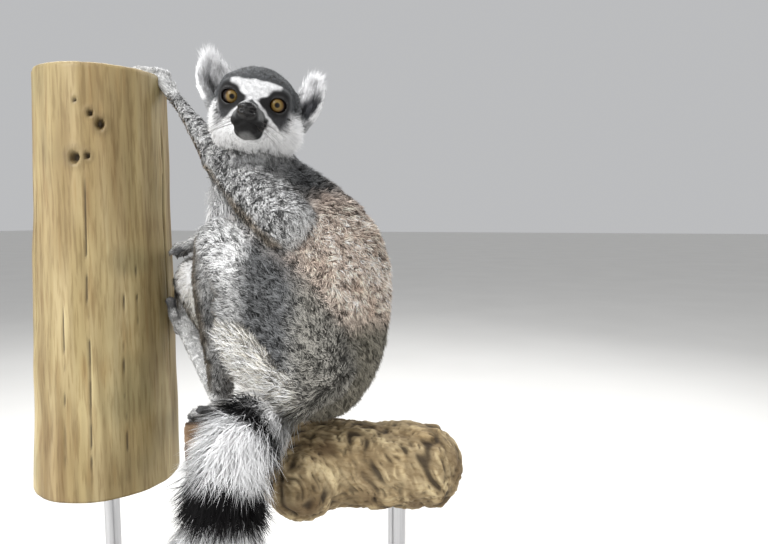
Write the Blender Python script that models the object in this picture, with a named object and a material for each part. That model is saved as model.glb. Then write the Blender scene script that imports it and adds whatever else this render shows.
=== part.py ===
"""Ring-tailed lemur sitting on a cut branch, one hand on top of a cut post, on a plain stand.

Run with: blender --background --python part.py
Units are metres, +Z up. The lemur's body faces -X with its left side towards -Y, and its
head is turned over the left shoulder towards -Y. The origin is the middle of the underside
of the stand's base. Anatomy is written relative to the middle of the pelvis.
"""

import math

import bmesh
import bpy
from mathutils import Matrix, Vector

# Stand and perch
BASE_LENGTH = 0.46
BASE_WIDTH = 0.34
BASE_THICKNESS = 0.022
BASE_CORNER = 0.03
BASE_EDGE = 0.003
ROD_RADIUS = 0.007
ROD_SOCKET = 0.02
POST_RADIUS_TOP = 0.0547
POST_RADIUS_BOTTOM = 0.0632
POST_AXIS = Vector((-0.2245, 0.033, 0.0))
POST_LEAN = Vector((-0.020, -0.005, 0.0))
POST_TOP = 0.2435
POST_BOTTOM = -0.125
POST_SIDES = 32
BRANCH_RADIUS = 0.034
# The branch is sawn off on a slant beside the post, along the plane through this place
BRANCH_CUT = Vector((-0.1307, 0.004, -0.088))
BRANCH_CUT_FACING = Vector((-0.820, -0.572, 0.0))

# Where the pelvis stands over the middle of the base
PELVIS = Vector((0.118, 0.022, 0.552))

# Clearance between two pieces that touch, and the sizes that set how fine the solids are
GAP = 0.0004
FINE_VOXEL = 0.0013
BODY_VOXEL = 0.003
SMOOTH_ROUNDS = 4

# Head
HEAD_CENTRE = Vector((-0.0381, -0.0308, 0.192))
HEAD_HEADING = Vector((0.375, -0.927, 0.0)).normalized()
HEAD_ROLL = math.radians(-10)
# How far each ear leans out and how high its root sits: 1 is the animal's left, -1 its right
EAR_LEANS = {1: 0.36, -1: 0.50}
EAR_ROOTS = {1: -0.001, -1: 0.002}
# Half width of each cheek; the one beside the raised arm is pressed flatter
CHEEKS = {1: 0.0200, -1: 0.0160}
EYE_RADIUS = 0.0082
EYE_PLACE = Vector((0.0205, 0.0147, 0.0035))

# Joints of the limbs, the left first
HIPS = {"left": (0.006, -0.041, 0.004), "right": (-0.002, 0.038, 0.004)}
KNEES = {"left": (-0.0655, -0.0365, 0.0995), "right": (-0.148, 0.050, 0.0630)}
ANKLES = {"left": (-0.099, 0.012, -0.026), "right": (-0.078, 0.044, -0.036)}
SHOULDERS = {"left": (-0.011, -0.044, 0.113), "right": (-0.014, 0.040, 0.122)}
ELBOWS = {"left": (-0.0762, -0.0183, 0.161), "right": (-0.052, 0.082, 0.068)}
WRISTS = {"left": (-0.159, 0.0445, 0.2255), "right": (-0.131, 0.064, 0.101)}

# Tail
TAIL_RADIUS = 0.0268
TAIL_LENGTHS = 5
TAIL_SIDES = 12
TAIL_STEPS = 4


# Each piece's mesh before its neighbours were cut out of it
WHOLE = {}


def clear_scene():
    """Removes whatever the scene holds at the start."""
    for old in list(bpy.data.objects):
        bpy.data.objects.remove(old, do_unlink=True)


def material(name, colour, roughness, metallic=0.0):
    """A Principled material with one colour."""
    made = bpy.data.materials.new(name)
    made.use_nodes = True
    shader = made.node_tree.nodes["Principled BSDF"]
    shader.inputs["Base Color"].default_value = (*colour, 1.0)
    shader.inputs["Roughness"].default_value = roughness
    shader.inputs["Metallic"].default_value = metallic
    return made


def head_axes():
    """The head's forward, left and up directions."""
    forward = HEAD_HEADING
    level_left = Vector((0, 0, 1)).cross(forward).normalized()
    roll = Matrix.Rotation(HEAD_ROLL, 3, forward)
    left = roll @ level_left
    return forward, left, forward.cross(left)


def head_point(forward, left, up):
    """A point given along the head's own axes, relative to the pelvis."""
    axes = head_axes()
    return HEAD_CENTRE + axes[0] * forward + axes[1] * left + axes[2] * up


def mirrored(point):
    """The same point on the other side of the body."""
    return Vector((point[0], -point[1], point[2]))


def spline(values, steps):
    """Catmull-Rom points through the given vectors, with so many steps between each two."""
    padded = [2 * values[0] - values[1], *values, 2 * values[-1] - values[-2]]
    made = []
    for i in range(1, len(padded) - 2):
        a, b, c, d = padded[i - 1 : i + 3]
        for k in range(steps):
            t = k / steps
            made.append(
                0.5
                * (
                    2 * b
                    + (c - a) * t
                    + (2 * a - 5 * b + 4 * c - d) * t * t
                    + (3 * b - a - 3 * c + d) * t**3
                )
            )
    made.append(values[-1].copy())
    return made


def loft(bm, stations, side_axis=(0, 1, 0), sides=20, steps=4, domes=(0.8, 0.8)):
    """Adds a closed tube to bm. A station is (centre, half width along side_axis, half width across it)."""
    rows = [Vector((*s[0], s[1], s[2] if len(s) > 2 else s[1])) for s in stations]
    rows = spline(rows, steps)
    centres = [row.xyz if len(row) == 3 else Vector(row[:3]) for row in rows]
    tangents = []
    for i in range(len(rows)):
        ahead, behind = centres[min(i + 1, len(rows) - 1)], centres[max(i - 1, 0)]
        tangents.append((ahead - behind).normalized())
    rings = []
    ends = [(0, -1, domes[0])] + [(i, 0, 0) for i in range(len(rows))]
    ends.append((len(rows) - 1, 1, domes[1]))
    for i, way, dome in ends:
        side = Vector(side_axis) - Vector(side_axis).dot(tangents[i]) * tangents[i]
        side.normalize()
        across = tangents[i].cross(side)
        turns = [0.0]
        if way:
            turns = [math.radians(a) for a in (72, 48, 24)]
            turns = turns if way < 0 else turns[::-1]
        for turn in turns:
            reach = way * dome * min(rows[i][3], rows[i][4]) * math.sin(turn)
            middle = centres[i] + tangents[i] * reach
            ring = []
            for k in range(sides):
                angle = 2 * math.pi * k / sides
                offset = side * (math.cos(angle) * rows[i][3] * math.cos(turn))
                offset += across * (math.sin(angle) * rows[i][4] * math.cos(turn))
                ring.append(bm.verts.new(middle + offset))
            rings.append(ring)
    for low, high in zip(rings, rings[1:]):
        for k in range(sides):
            after = (k + 1) % sides
            bm.faces.new((low[k], low[after], high[after], high[k]))
    bm.faces.new(rings[0][::-1])
    bm.faces.new(rings[-1])


def ellipsoid(bm, centre, halves, axes=None, segments=20):
    """Adds an ellipsoid to bm, with its half sizes along the given axes."""
    turn = Matrix.Identity(3)
    if axes:
        turn = Matrix(axes).transposed()
    place = Matrix.Translation(centre) @ turn.to_4x4() @ Matrix.Diagonal((*halves, 1.0))
    bmesh.ops.create_uvsphere(
        bm, u_segments=segments, v_segments=segments // 2, radius=1.0, matrix=place
    )


def evaluated_mesh(obj):
    """The object's mesh with its modifiers applied."""
    bpy.context.view_layer.update()
    graph = bpy.context.evaluated_depsgraph_get()
    return bpy.data.meshes.new_from_object(obj.evaluated_get(graph))


def bake_modifiers(obj):
    """Applies every modifier of the object."""
    made = evaluated_mesh(obj)
    obj.modifiers.clear()
    obj.data = made


def keep_largest(mesh):
    """Deletes every loose piece of the mesh but its largest."""
    bm = bmesh.new()
    bm.from_mesh(mesh)
    left, pieces = set(bm.verts), []
    while left:
        todo, piece = [left.pop()], []
        while todo:
            vert = todo.pop()
            piece.append(vert)
            for edge in vert.link_edges:
                other = edge.other_vert(vert)
                if other in left:
                    left.discard(other)
                    todo.append(other)
        pieces.append(piece)
    pieces.sort(key=len)
    for piece in pieces[:-1]:
        bmesh.ops.delete(bm, geom=piece, context="VERTS")
    bm.to_mesh(mesh)
    bm.free()


def new_object(name, bm, finish):
    """Links a new object that holds bm's mesh."""
    mesh = bpy.data.meshes.new(name)
    bmesh.ops.recalc_face_normals(bm, faces=bm.faces)
    bm.to_mesh(mesh)
    bm.free()
    obj = bpy.data.objects.new(name, mesh)
    bpy.context.scene.collection.objects.link(obj)
    mesh.materials.append(finish)
    WHOLE[name] = mesh.copy()
    return obj


def flesh(name, shapes, finish, voxel, triangles, rounds=SMOOTH_ROUNDS):
    """One blended closed piece made from overlapping shapes, brought to about so many triangles."""
    bm = bmesh.new()
    for shape in shapes:
        shape(bm)
    for vert in bm.verts:
        vert.co += PELVIS
    obj = new_object(name, bm, finish)
    fuse = obj.modifiers.new("fuse", "REMESH")
    fuse.mode = "VOXEL"
    fuse.voxel_size = voxel
    soften = obj.modifiers.new("soften", "SMOOTH")
    soften.factor = 0.5
    soften.iterations = rounds
    bake_modifiers(obj)
    thin = obj.modifiers.new("thin", "DECIMATE")
    faces = sum(len(p.vertices) - 2 for p in obj.data.polygons)
    thin.ratio = min(1.0, triangles / faces)
    thin.use_collapse_triangulate = True
    bake_modifiers(obj)
    keep_largest(obj.data)
    obj.data.materials.clear()
    obj.data.materials.append(finish)
    WHOLE[name] = obj.data.copy()
    return obj


def saw_off(obj, place, facing):
    """Removes what lies beyond the plane through the place and closes the end."""
    bm = bmesh.new()
    bm.from_mesh(obj.data)
    everything = bm.verts[:] + bm.edges[:] + bm.faces[:]
    cut = bmesh.ops.bisect_plane(
        bm, geom=everything, plane_co=place, plane_no=facing, clear_outer=True
    )
    rim = [edge for edge in cut["geom_cut"] if isinstance(edge, bmesh.types.BMEdge)]
    bmesh.ops.triangle_fill(bm, use_beauty=True, use_dissolve=False, edges=rim)
    bmesh.ops.recalc_face_normals(bm, faces=bm.faces)
    bm.to_mesh(obj.data)
    bm.free()
    WHOLE[obj.name] = obj.data.copy()


def carve(obj, *neighbours):
    """Cuts the object back so that it meets each neighbour with the clearance between them."""
    for neighbour in neighbours:
        cutter = bpy.data.objects.new("cutter", WHOLE[neighbour.name].copy())
        bpy.context.scene.collection.objects.link(cutter)
        cutter.matrix_world = neighbour.matrix_world
        swell = cutter.modifiers.new("swell", "DISPLACE")
        swell.mid_level = 0.0
        swell.strength = GAP
        cut = obj.modifiers.new("cut", "BOOLEAN")
        cut.operation = "DIFFERENCE"
        cut.object = cutter
        bake_modifiers(obj)
        bpy.data.objects.remove(cutter, do_unlink=True)
    keep_largest(obj.data)


# Each part of the body, as a list of shapes that flesh() blends.


def trunk_shapes():
    """The trunk in its coat, upright and a little hunched."""
    stations = [
        ((-0.002, 0.000, -0.014), 0.038, 0.030),
        ((0.001, 0.000, 0.008), 0.047, 0.042),
        ((0.000, 0.000, 0.044), 0.051, 0.053),
        ((-0.006, 0.000, 0.082), 0.049, 0.0565),
        ((-0.031, -0.002, 0.114), 0.042, 0.048),
        ((-0.047, -0.007, 0.139), 0.033, 0.034),
    ]
    return [lambda bm: loft(bm, stations, sides=32, steps=4, domes=(0.7, 0.4))]


def neck_shapes():
    """The short neck between shoulders and head."""
    stations = [
        ((-0.043, -0.012, 0.142), 0.027, 0.027),
        ((-0.043, -0.018, 0.158), 0.026, 0.026),
        ((-0.040, -0.025, 0.176), 0.024, 0.024),
    ]
    return [lambda bm: loft(bm, stations, sides=24, domes=(0.4, 0.4))]


def head_shapes():
    """Cranium, cheeks, brow and muzzle, along the head's own axes."""
    axes = head_axes()
    cranium = [
        (head_point(-0.032, 0, 0.002), 0.022, 0.021),
        (head_point(-0.016, 0, 0.003), 0.030, 0.028),
        (head_point(0.000, 0, 0.002), 0.0325, 0.0305),
        (head_point(0.012, 0, 0.000), 0.0285, 0.0265),
    ]
    muzzle = [
        (head_point(0.010, 0, -0.0080), 0.0175, 0.0160),
        (head_point(0.024, 0, -0.0090), 0.0120, 0.0130),
        (head_point(0.038, 0, -0.0105), 0.0108, 0.0108),
        (head_point(0.047, 0, -0.0105), 0.0092, 0.0092),
    ]
    shapes = [
        lambda bm: loft(bm, cranium, axes[1], sides=28, domes=(0.8, 0.5)),
        lambda bm: loft(bm, muzzle, axes[1], sides=20, domes=(0.5, 0.75)),
    ]
    jaw = head_point(0.010, 0, -0.0185)
    shapes.append(lambda bm: ellipsoid(bm, jaw, (0.022, 0.018, 0.0125), axes))
    for way in (-1, 1):
        cheek, half = head_point(0.006, way * 0.0165, -0.0135), (0.019, CHEEKS[way], 0.0185)
        shapes.append(lambda bm, c=cheek, h=half: ellipsoid(bm, c, h, axes))
        brow = head_point(0.018, way * 0.012, 0.013)
        shapes.append(lambda bm, c=brow: ellipsoid(bm, c, (0.0115, 0.0135, 0.009), axes))
    return shapes


def ear_shapes(way):
    """One upright, cupped and tufted ear. way is 1 on the animal's left and -1 on its right."""
    forward, left, up = head_axes()
    root = head_point(-0.010, way * 0.0275, EAR_ROOTS[way])
    lean = (up + left * (way * EAR_LEANS[way]) - forward * 0.12).normalized()
    broad = (left * (way * 0.60) + forward * 0.60 - up * 0.3).normalized()
    stations = [
        (root, 0.0115, 0.0085),
        (root + lean * 0.011, 0.0140, 0.0085),
        (root + lean * 0.021, 0.0135, 0.0070),
        (root + lean * 0.029, 0.0095, 0.0050),
        (root + lean * 0.0345, 0.0045, 0.0028),
    ]
    return [lambda bm: loft(bm, stations, broad, sides=18, steps=3)]


def thigh_shapes(hip, knee):
    """The heavy thigh with its hamstrings."""
    hip, knee = Vector(hip), Vector(knee)
    along = knee - hip
    drop = Vector((-0.30, 0.0, -0.55)).normalized()
    rise = Vector((along.z, 0.0, -along.x)).normalized()
    stations = [
        (hip - along * 0.02, 0.026, 0.033),
        (hip + along * 0.18 + rise * 0.003, 0.030, 0.040),
        (hip + along * 0.45 + rise * 0.008, 0.029, 0.041),
        (hip + along * 0.76 + rise * 0.006, 0.025, 0.033),
        (hip + along * 0.98 + rise * 0.001, 0.021, 0.0225),
    ]
    ham = [
        (hip + along * 0.02 + drop * 0.014, 0.023, 0.025),
        (hip + along * 0.22 + drop * 0.030, 0.025, 0.028),
        (hip + along * 0.48 + drop * 0.038, 0.022, 0.025),
        (hip + along * 0.74 + drop * 0.036, 0.016, 0.018),
    ]
    return [
        lambda bm: loft(bm, stations, (0, 1, 0), sides=24),
        lambda bm: loft(bm, ham, (0, 1, 0), sides=20),
    ]


def shank_shapes(knee, ankle):
    """The lower leg, with the calf behind it."""
    knee, ankle = Vector(knee), Vector(ankle)
    along = ankle - knee
    stations = [
        (knee + along * 0.02, 0.0195, 0.0210),
        (knee + along * 0.25, 0.0205, 0.0240),
        (knee + along * 0.55, 0.0170, 0.0195),
        (knee + along * 0.82, 0.0130, 0.0140),
        (knee + along * 1.0, 0.0110, 0.0120),
    ]
    return [lambda bm: loft(bm, stations, (0, 1, 0), sides=20)]


def arm_shapes(start, end, widths):
    """A straight length of arm with the given widths along it."""
    start, end = Vector(start), Vector(end)
    last = len(widths) - 1
    stations = [(start.lerp(end, i / last), w) for i, w in enumerate(widths)]
    return [lambda bm: loft(bm, stations, (0, 0.3, 1), sides=20)]


def digit(bm, points, thick):
    """One finger or toe through the given points, a little thinner towards its tip."""
    last = len(points) - 1
    stations = [(p, thick * (1.0 - 0.22 * i / last)) for i, p in enumerate(points)]
    loft(bm, stations, (0.1, 0.2, 1), sides=10, steps=3)


def post_axis(height):
    """The middle of the post at that height; it leans a little."""
    return POST_AXIS + POST_LEAN * (POST_TOP - height) + Vector((0, 0, height))


def post_radius(height):
    """The post's radius at that height."""
    share = (POST_TOP - height) / (POST_TOP - POST_BOTTOM)
    return POST_RADIUS_TOP + (POST_RADIUS_BOTTOM - POST_RADIUS_TOP) * share


def on_post(turn, height, away):
    """A point beside the post: turn is in degrees from +X towards +Y, away is from its surface."""
    reach = post_radius(height) + away
    turn = math.radians(turn)
    return post_axis(height) + Vector((reach * math.cos(turn), reach * math.sin(turn), 0))


def branch_axis(x):
    """The middle of the branch at that x."""
    return Vector((x, 0.004 + 0.30 * max(0.0, x - 0.03), -0.0765 + 0.085 * min(0.0, x)))


def on_branch(x, turn, away):
    """A point beside the branch: turn is in degrees from its top towards the body's left."""
    reach = BRANCH_RADIUS + away
    turn = math.radians(turn)
    return branch_axis(x) + Vector((0, -reach * math.sin(turn), reach * math.cos(turn)))


def hand_left_shapes():
    """The hand laid over the rim of the post, fingers on its top and thumb round its far side."""
    wrist, knuckles = Vector(WRISTS["left"]), Vector((-0.177, 0.049, POST_TOP + 0.0030))
    along = Vector((-0.96, 0.28, 0.0))
    across = Vector((0.28, 0.96, 0.0))
    palm = [(wrist, 0.0066, 0.0062), (wrist.lerp(knuckles, 0.5), 0.0085, 0.0060)]
    palm.append((knuckles, 0.0105, 0.0052))
    shapes = [lambda bm: loft(bm, palm, across, sides=16)]
    top = POST_TOP + 0.0042
    for i, spread in enumerate((-0.011, -0.004, 0.004, 0.011)):
        reach = 0.030 - 0.003 * abs(i - 1.4)
        side = across * spread
        root = knuckles + side * 0.6 - along * 0.004
        middle = knuckles + side * 0.95 + along * (0.5 * reach) + Vector((0, 0, 0.0030))
        tip = knuckles + side * 1.25 + along * reach
        tip.z = top
        shapes.append(lambda bm, p=(root, middle, tip): digit(bm, p, 0.0038))
    thumb = (
        wrist.lerp(knuckles, 0.40) + across * 0.003,
        on_post(32, POST_TOP - 0.004, 0.0050),
        on_post(50, POST_TOP - 0.012, 0.0045),
    )
    shapes.append(lambda bm: digit(bm, thumb, 0.0040))
    return shapes


def hand_right_shapes():
    """The hand resting on the knee, its fingers hanging over the front."""
    wrist, knuckles = Vector(WRISTS["right"]), Vector((-0.149, 0.056, 0.0945))
    palm = [(wrist, 0.0085, 0.0075), (knuckles, 0.0115, 0.0065)]
    shapes = [lambda bm: loft(bm, palm, (0, 1, 0), sides=16)]
    for i, spread in enumerate((-0.013, -0.004, 0.005, 0.014)):
        short = 0.003 * abs(i - 1.4)
        root = knuckles + Vector((0.004, spread * 0.6, 0.0))
        middle = knuckles + Vector((-0.0100, spread * 0.9, -0.003))
        tip = knuckles + Vector((-0.0145, spread * 1.05, -0.013 + short))
        shapes.append(lambda bm, p=(root, middle, tip): digit(bm, p, 0.0038))
    thumb = (
        wrist.lerp(knuckles, 0.4) + Vector((0, -0.007, 0.0)),
        knuckles + Vector((0.006, -0.018, -0.001)),
        knuckles + Vector((-0.002, -0.026, -0.008)),
    )
    shapes.append(lambda bm: digit(bm, thumb, 0.0040))
    return shapes


def foot_left_shapes():
    """The foot that steps up the side of the post, toes round its far side."""
    heel, ball = Vector(ANKLES["left"]) + Vector((0.000, 0.002, -0.010)), on_post(20, 0.024, 0.0105)
    sole = [(heel, 0.0100, 0.0105), (heel.lerp(ball, 0.5), 0.0120, 0.0090)]
    sole.append((ball, 0.0135, 0.0075))
    shapes = [lambda bm: loft(bm, sole, (0.3, 1, 0), sides=16)]
    for i in range(4):
        path = [
            on_post(20 + 7 * i, 0.022, 0.008),
            on_post(30 + 13 * i, 0.036, 0.0060),
            on_post(36 + 15 * i, 0.047 - 0.003 * abs(i - 1.3), 0.0042),
        ]
        shapes.append(lambda bm, p=path: digit(bm, p, 0.0041))
    big = [on_post(14, 0.012, 0.008), on_post(8, 0.028, 0.0064), on_post(6, 0.041, 0.0050)]
    shapes.append(lambda bm: digit(bm, big, 0.0050))
    return shapes


def foot_right_shapes():
    """The foot laid along the far side of the branch, toes curled round it."""
    heel, ball = on_branch(-0.074, -50, 0.0105), on_branch(-0.122, -52, 0.0090)
    sole = [(heel, 0.0100, 0.0100), (heel.lerp(ball, 0.5), 0.0120, 0.0085)]
    sole.append((ball, 0.0130, 0.0075))
    shapes = [lambda bm: loft(bm, sole, (0, 0.6, -0.8), sides=16)]
    for i in range(4):
        turn = -40 - 16 * i
        reach = 0.148 - 0.004 * abs(i - 1.3)
        path = [
            on_branch(-0.118, -46 - 6 * i, 0.0080),
            on_branch(-0.136, turn, 0.0060),
            on_branch(-reach, turn - 8, 0.0045),
        ]
        shapes.append(lambda bm, p=path: digit(bm, p, 0.0041))
    big = [on_branch(-0.100, -50, 0.008), on_branch(-0.113, -32, 0.0062), on_branch(-0.122, -18, 0.0050)]
    shapes.append(lambda bm: digit(bm, big, 0.0048))
    return shapes


def tail_centres():
    """The line of the tail: round the left of the rump, over the branch and down."""
    line = [
        (-0.006, -0.022, -0.010),
        (-0.020, -0.047, -0.020),
        (-0.028, -0.071, -0.029),
        (-0.030, -0.090, -0.044),
        (-0.028, -0.103, -0.070),
        (-0.034, -0.113, -0.104),
        (-0.042, -0.118, -0.160),
        (-0.046, -0.115, -0.235),
        (-0.040, -0.108, -0.310),
        (-0.028, -0.101, -0.385),
        (-0.020, -0.102, -0.445),
        (-0.032, -0.110, -0.487),
    ]
    return spline([Vector(p) for p in line], TAIL_STEPS)


def tail_width(share):
    """The tail's half width in its coat, at that share of its length."""
    root = min(1.0, 0.62 + 4.0 * share)
    tip = min(1.0, math.sqrt(max(0.0, 1.02 - share) / 0.14))
    return TAIL_RADIUS * root * (1.0 - 0.10 * share) * tip


def tail_length(name, first, last, finish):
    """One length of the tail, between two rings of its line, with flat ends."""
    line = [p + PELVIS for p in tail_centres()]
    whole = len(line) - 1
    bm = bmesh.new()
    rings = []
    for i in range(first, last + 1):
        ahead, behind = line[min(i + 1, whole)], line[max(i - 1, 0)]
        tangent = (ahead - behind).normalized()
        side = tangent.cross(Vector((1, 0.2, 0))).normalized()
        across = tangent.cross(side)
        middle = line[i].copy()
        if i == first and first:
            middle += tangent * GAP
        width = tail_width(i / whole)
        ring = []
        for k in range(TAIL_SIDES):
            angle = 2 * math.pi * k / TAIL_SIDES
            ring.append(
                bm.verts.new(
                    middle + width * (math.cos(angle) * side + math.sin(angle) * across)
                )
            )
        rings.append(ring)
    for low, high in zip(rings, rings[1:]):
        for k in range(TAIL_SIDES):
            after = (k + 1) % TAIL_SIDES
            bm.faces.new((low[k], low[after], high[after], high[k]))
    bm.faces.new(rings[0][::-1])
    bm.faces.new(rings[-1])
    obj = new_object(name, bm, finish)
    return obj


def branch_shapes():
    """The crooked driftwood branch with the knob of a lost limb."""
    xs = (-0.150, -0.10, -0.05, 0.0, 0.05, 0.085)
    wide = (0.90, 0.88, 0.94, 1.0, 0.98, 0.92)
    stations = [(branch_axis(x), BRANCH_RADIUS * w) for x, w in zip(xs, wide)]
    knob = [
        (branch_axis(-0.004), 0.030),
        (branch_axis(-0.006) + Vector((0.0, -0.022, -0.001)), 0.031),
        (branch_axis(-0.008) + Vector((0.0, -0.042, -0.002)), 0.027),
    ]
    return [
        lambda bm: loft(bm, stations, sides=24, domes=(0.6, 0.35)),
        lambda bm: loft(bm, knob, (1, 0, 0), sides=20, domes=(0.5, 0.45)),
    ]


def post(finish):
    """The cut length of round post, tapered, with the arris of its top eased."""
    rows = [
        (POST_BOTTOM, 0.0),
        (POST_TOP - 0.003, 0.0),
        (POST_TOP, 0.003),
    ]
    bm = bmesh.new()
    rings = []
    for height, inset in rows:
        ring = []
        for k in range(POST_SIDES):
            at = on_post(360 * k / POST_SIDES, height, -inset)
            ring.append(bm.verts.new(at + PELVIS))
        rings.append(ring)
    for low, high in zip(rings, rings[1:]):
        for k in range(POST_SIDES):
            after = (k + 1) % POST_SIDES
            bm.faces.new((low[k], low[after], high[after], high[k]))
    bm.faces.new(rings[0][::-1])
    bm.faces.new(rings[-1])
    return new_object("perch_post", bm, finish)


def stand_base(finish):
    """The flat base, with round corners and an eased edge."""
    bm = bmesh.new()
    bmesh.ops.create_cube(
        bm,
        size=1.0,
        matrix=Matrix.Translation((0, 0, BASE_THICKNESS / 2))
        @ Matrix.Diagonal((BASE_LENGTH, BASE_WIDTH, BASE_THICKNESS, 1.0)),
    )
    upright = [
        e for e in bm.edges if abs(e.verts[0].co.z - e.verts[1].co.z) > BASE_THICKNESS / 2
    ]
    bmesh.ops.bevel(
        bm, geom=upright, offset=BASE_CORNER, segments=5, profile=0.5, affect="EDGES"
    )
    obj = new_object("stand_base", bm, finish)
    ease = obj.modifiers.new("ease", "BEVEL")
    ease.width = BASE_EDGE
    ease.segments = 1
    ease.limit_method = "ANGLE"
    ease.angle_limit = math.radians(60)
    bake_modifiers(obj)
    return obj


def rod(name, foot, top, finish):
    """An upright rod from the base to what it holds."""
    bm = bmesh.new()
    low = BASE_THICKNESS + GAP
    bmesh.ops.create_cone(
        bm,
        cap_ends=True,
        segments=20,
        radius1=ROD_RADIUS,
        radius2=ROD_RADIUS,
        depth=top - low,
        matrix=Matrix.Translation((foot.x, foot.y, (top + low) / 2)),
    )
    return new_object(name, bm, finish)


def eye(name, way, finish):
    """One eyeball, set in its socket."""
    bm = bmesh.new()
    centre = head_point(EYE_PLACE.x, way * EYE_PLACE.y, EYE_PLACE.z) + PELVIS
    bmesh.ops.create_uvsphere(
        bm,
        u_segments=14,
        v_segments=8,
        radius=EYE_RADIUS,
        matrix=Matrix.Translation(centre),
    )
    return new_object(name, bm, finish)


def build():
    """Makes every node, the whole ones first and then those cut back to meet them."""
    clear_scene()
    fur = material("grey_fur", (0.42, 0.41, 0.40), 0.9)
    pale = material("white_fur", (0.80, 0.79, 0.76), 0.9)
    ringed = material("ringed_fur", (0.25, 0.24, 0.24), 0.9)
    skin = material("dark_skin", (0.06, 0.05, 0.05), 0.7)
    iris = material("amber_eye", (0.55, 0.33, 0.06), 0.1)
    bark = material("driftwood", (0.52, 0.38, 0.23), 0.85)
    pine = material("peeled_pine", (0.62, 0.45, 0.25), 0.6)
    painted = material("stand_paint", (0.10, 0.10, 0.11), 0.5)
    steel = material("stand_steel", (0.55, 0.55, 0.56), 0.3, 1.0)

    pole = post(pine)
    branch = flesh("perch_branch", branch_shapes(), bark, BODY_VOXEL, 340, 2)
    saw_off(branch, PELVIS + BRANCH_CUT, BRANCH_CUT_FACING)
    stand_base(painted)
    hands = {"left": hand_left_shapes(), "right": hand_right_shapes()}
    feet = {"left": foot_left_shapes(), "right": foot_right_shapes()}
    eyes = [eye("eye_left", 1, iris), eye("eye_right", -1, iris)]
    head = flesh("head", head_shapes(), pale, 0.0018, 690, 3)
    carve(head, *eyes)
    for side, way in (("left", 1), ("right", -1)):
        carve(flesh("ear_" + side, ear_shapes(way), pale, 0.0014, 160, 2), head)

    rings = len(tail_centres()) - 1
    cuts = [round(rings * i / TAIL_LENGTHS) for i in range(TAIL_LENGTHS + 1)]
    tail = [
        tail_length(f"tail_{i + 1}", cuts[i], cuts[i + 1], ringed) for i in range(TAIL_LENGTHS)
    ]
    carve(tail[0], branch)
    carve(tail[1], branch)

    limbs, placed_feet = [], []
    for side in ("left", "right"):
        upper = flesh(
            "upper_arm_" + side,
            arm_shapes(SHOULDERS[side], ELBOWS[side], (0.0215, 0.0212, 0.0182, 0.0142)),
            fur,
            BODY_VOXEL,
            200,
        )
        carve(upper, head)
        fore = flesh(
            "forearm_" + side,
            arm_shapes(ELBOWS[side], WRISTS[side], (0.0138, 0.0100, 0.0070, 0.0060)),
            fur,
            BODY_VOXEL,
            160,
        )
        thigh = flesh("thigh_" + side, thigh_shapes(HIPS[side], KNEES[side]), fur, BODY_VOXEL, 260)
        shank = flesh(
            "shank_" + side, shank_shapes(KNEES[side], ANKLES[side]), fur, BODY_VOXEL, 180
        )
        hand = flesh("hand_" + side, hands[side], skin, FINE_VOXEL, 300, 2)
        foot = flesh("foot_" + side, feet[side], skin, FINE_VOXEL, 310, 2)
        carve(thigh, branch, tail[0], upper, *placed_feet)
        carve(foot, branch, pole)
        placed_feet.append(foot)
        carve(shank, *placed_feet, thigh, branch, pole)
        carve(hand, pole, thigh, shank)
        carve(fore, upper, hand, head, thigh)
        limbs += [upper, fore, thigh, shank]
    neck = flesh("neck", neck_shapes(), fur, BODY_VOXEL, 140)
    carve(neck, head, *limbs)
    trunk = flesh("trunk", trunk_shapes(), fur, BODY_VOXEL, 480)
    carve(trunk, *limbs, head, neck, branch, tail[0])
    carve(branch, pole)

    post_foot = PELVIS + post_axis(POST_BOTTOM)
    rod("stand_rod_post", post_foot, post_foot.z - GAP, steel)
    branch_foot = PELVIS + branch_axis(0.055)
    carve(rod("stand_rod_branch", branch_foot, branch_foot.z, steel), branch)


build()
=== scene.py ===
"""Finished look of a life-size ring-tailed lemur on a cut post and branch, on a plain stand.

The animal is one continuous skin, sculpted as a blend of simple volumes, with a coat of fine
mesh tufts that follow the lie of the fur. Eyes, claws, wood and stand are pieces of their own.
Units are metres and +Z is up. The lemur's body faces -X and its left side faces -Y.
"""

from __future__ import annotations

import logging
import math
from dataclasses import dataclass, field
from enum import Enum
from itertools import product
from typing import Callable, Sequence

import bmesh
import bpy
import numpy as np
from mathutils import Matrix, Vector

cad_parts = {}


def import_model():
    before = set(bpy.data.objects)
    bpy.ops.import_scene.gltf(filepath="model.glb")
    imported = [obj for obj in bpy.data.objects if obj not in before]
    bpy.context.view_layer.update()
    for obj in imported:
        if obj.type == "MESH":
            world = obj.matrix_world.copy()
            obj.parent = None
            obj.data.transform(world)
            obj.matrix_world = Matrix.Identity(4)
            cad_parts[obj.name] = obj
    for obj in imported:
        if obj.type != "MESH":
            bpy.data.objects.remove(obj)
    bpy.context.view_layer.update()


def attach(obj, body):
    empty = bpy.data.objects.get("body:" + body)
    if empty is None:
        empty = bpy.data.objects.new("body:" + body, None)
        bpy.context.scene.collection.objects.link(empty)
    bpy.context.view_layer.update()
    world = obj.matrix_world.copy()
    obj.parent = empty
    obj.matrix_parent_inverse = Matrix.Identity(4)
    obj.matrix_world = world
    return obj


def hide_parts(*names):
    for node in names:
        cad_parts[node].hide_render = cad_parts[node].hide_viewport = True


LOG = logging.getLogger("lemur")
FAR = 0.03  # the sculpture's value well outside every volume, in metres
CELL_PRIMES = (73856093, 19349663, 83492791)
SEED_PRIME, FIRST_PRIME, SECOND_PRIME = 265443, 1274126177, 668265263
KEPT_BITS, CHANCE_BITS, HALF_CHANCE = 0x7FFFFFFF, 0xFFFF, 32767.5
Colour = tuple[float, float, float]
Place = tuple[float, float, float]
Array = np.ndarray
Pair = tuple[Array, Array]
Rows = Sequence[Sequence[float]]
Domes = tuple[float, float]
Piece = bpy.types.Object


# --- small numeric helpers


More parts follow.
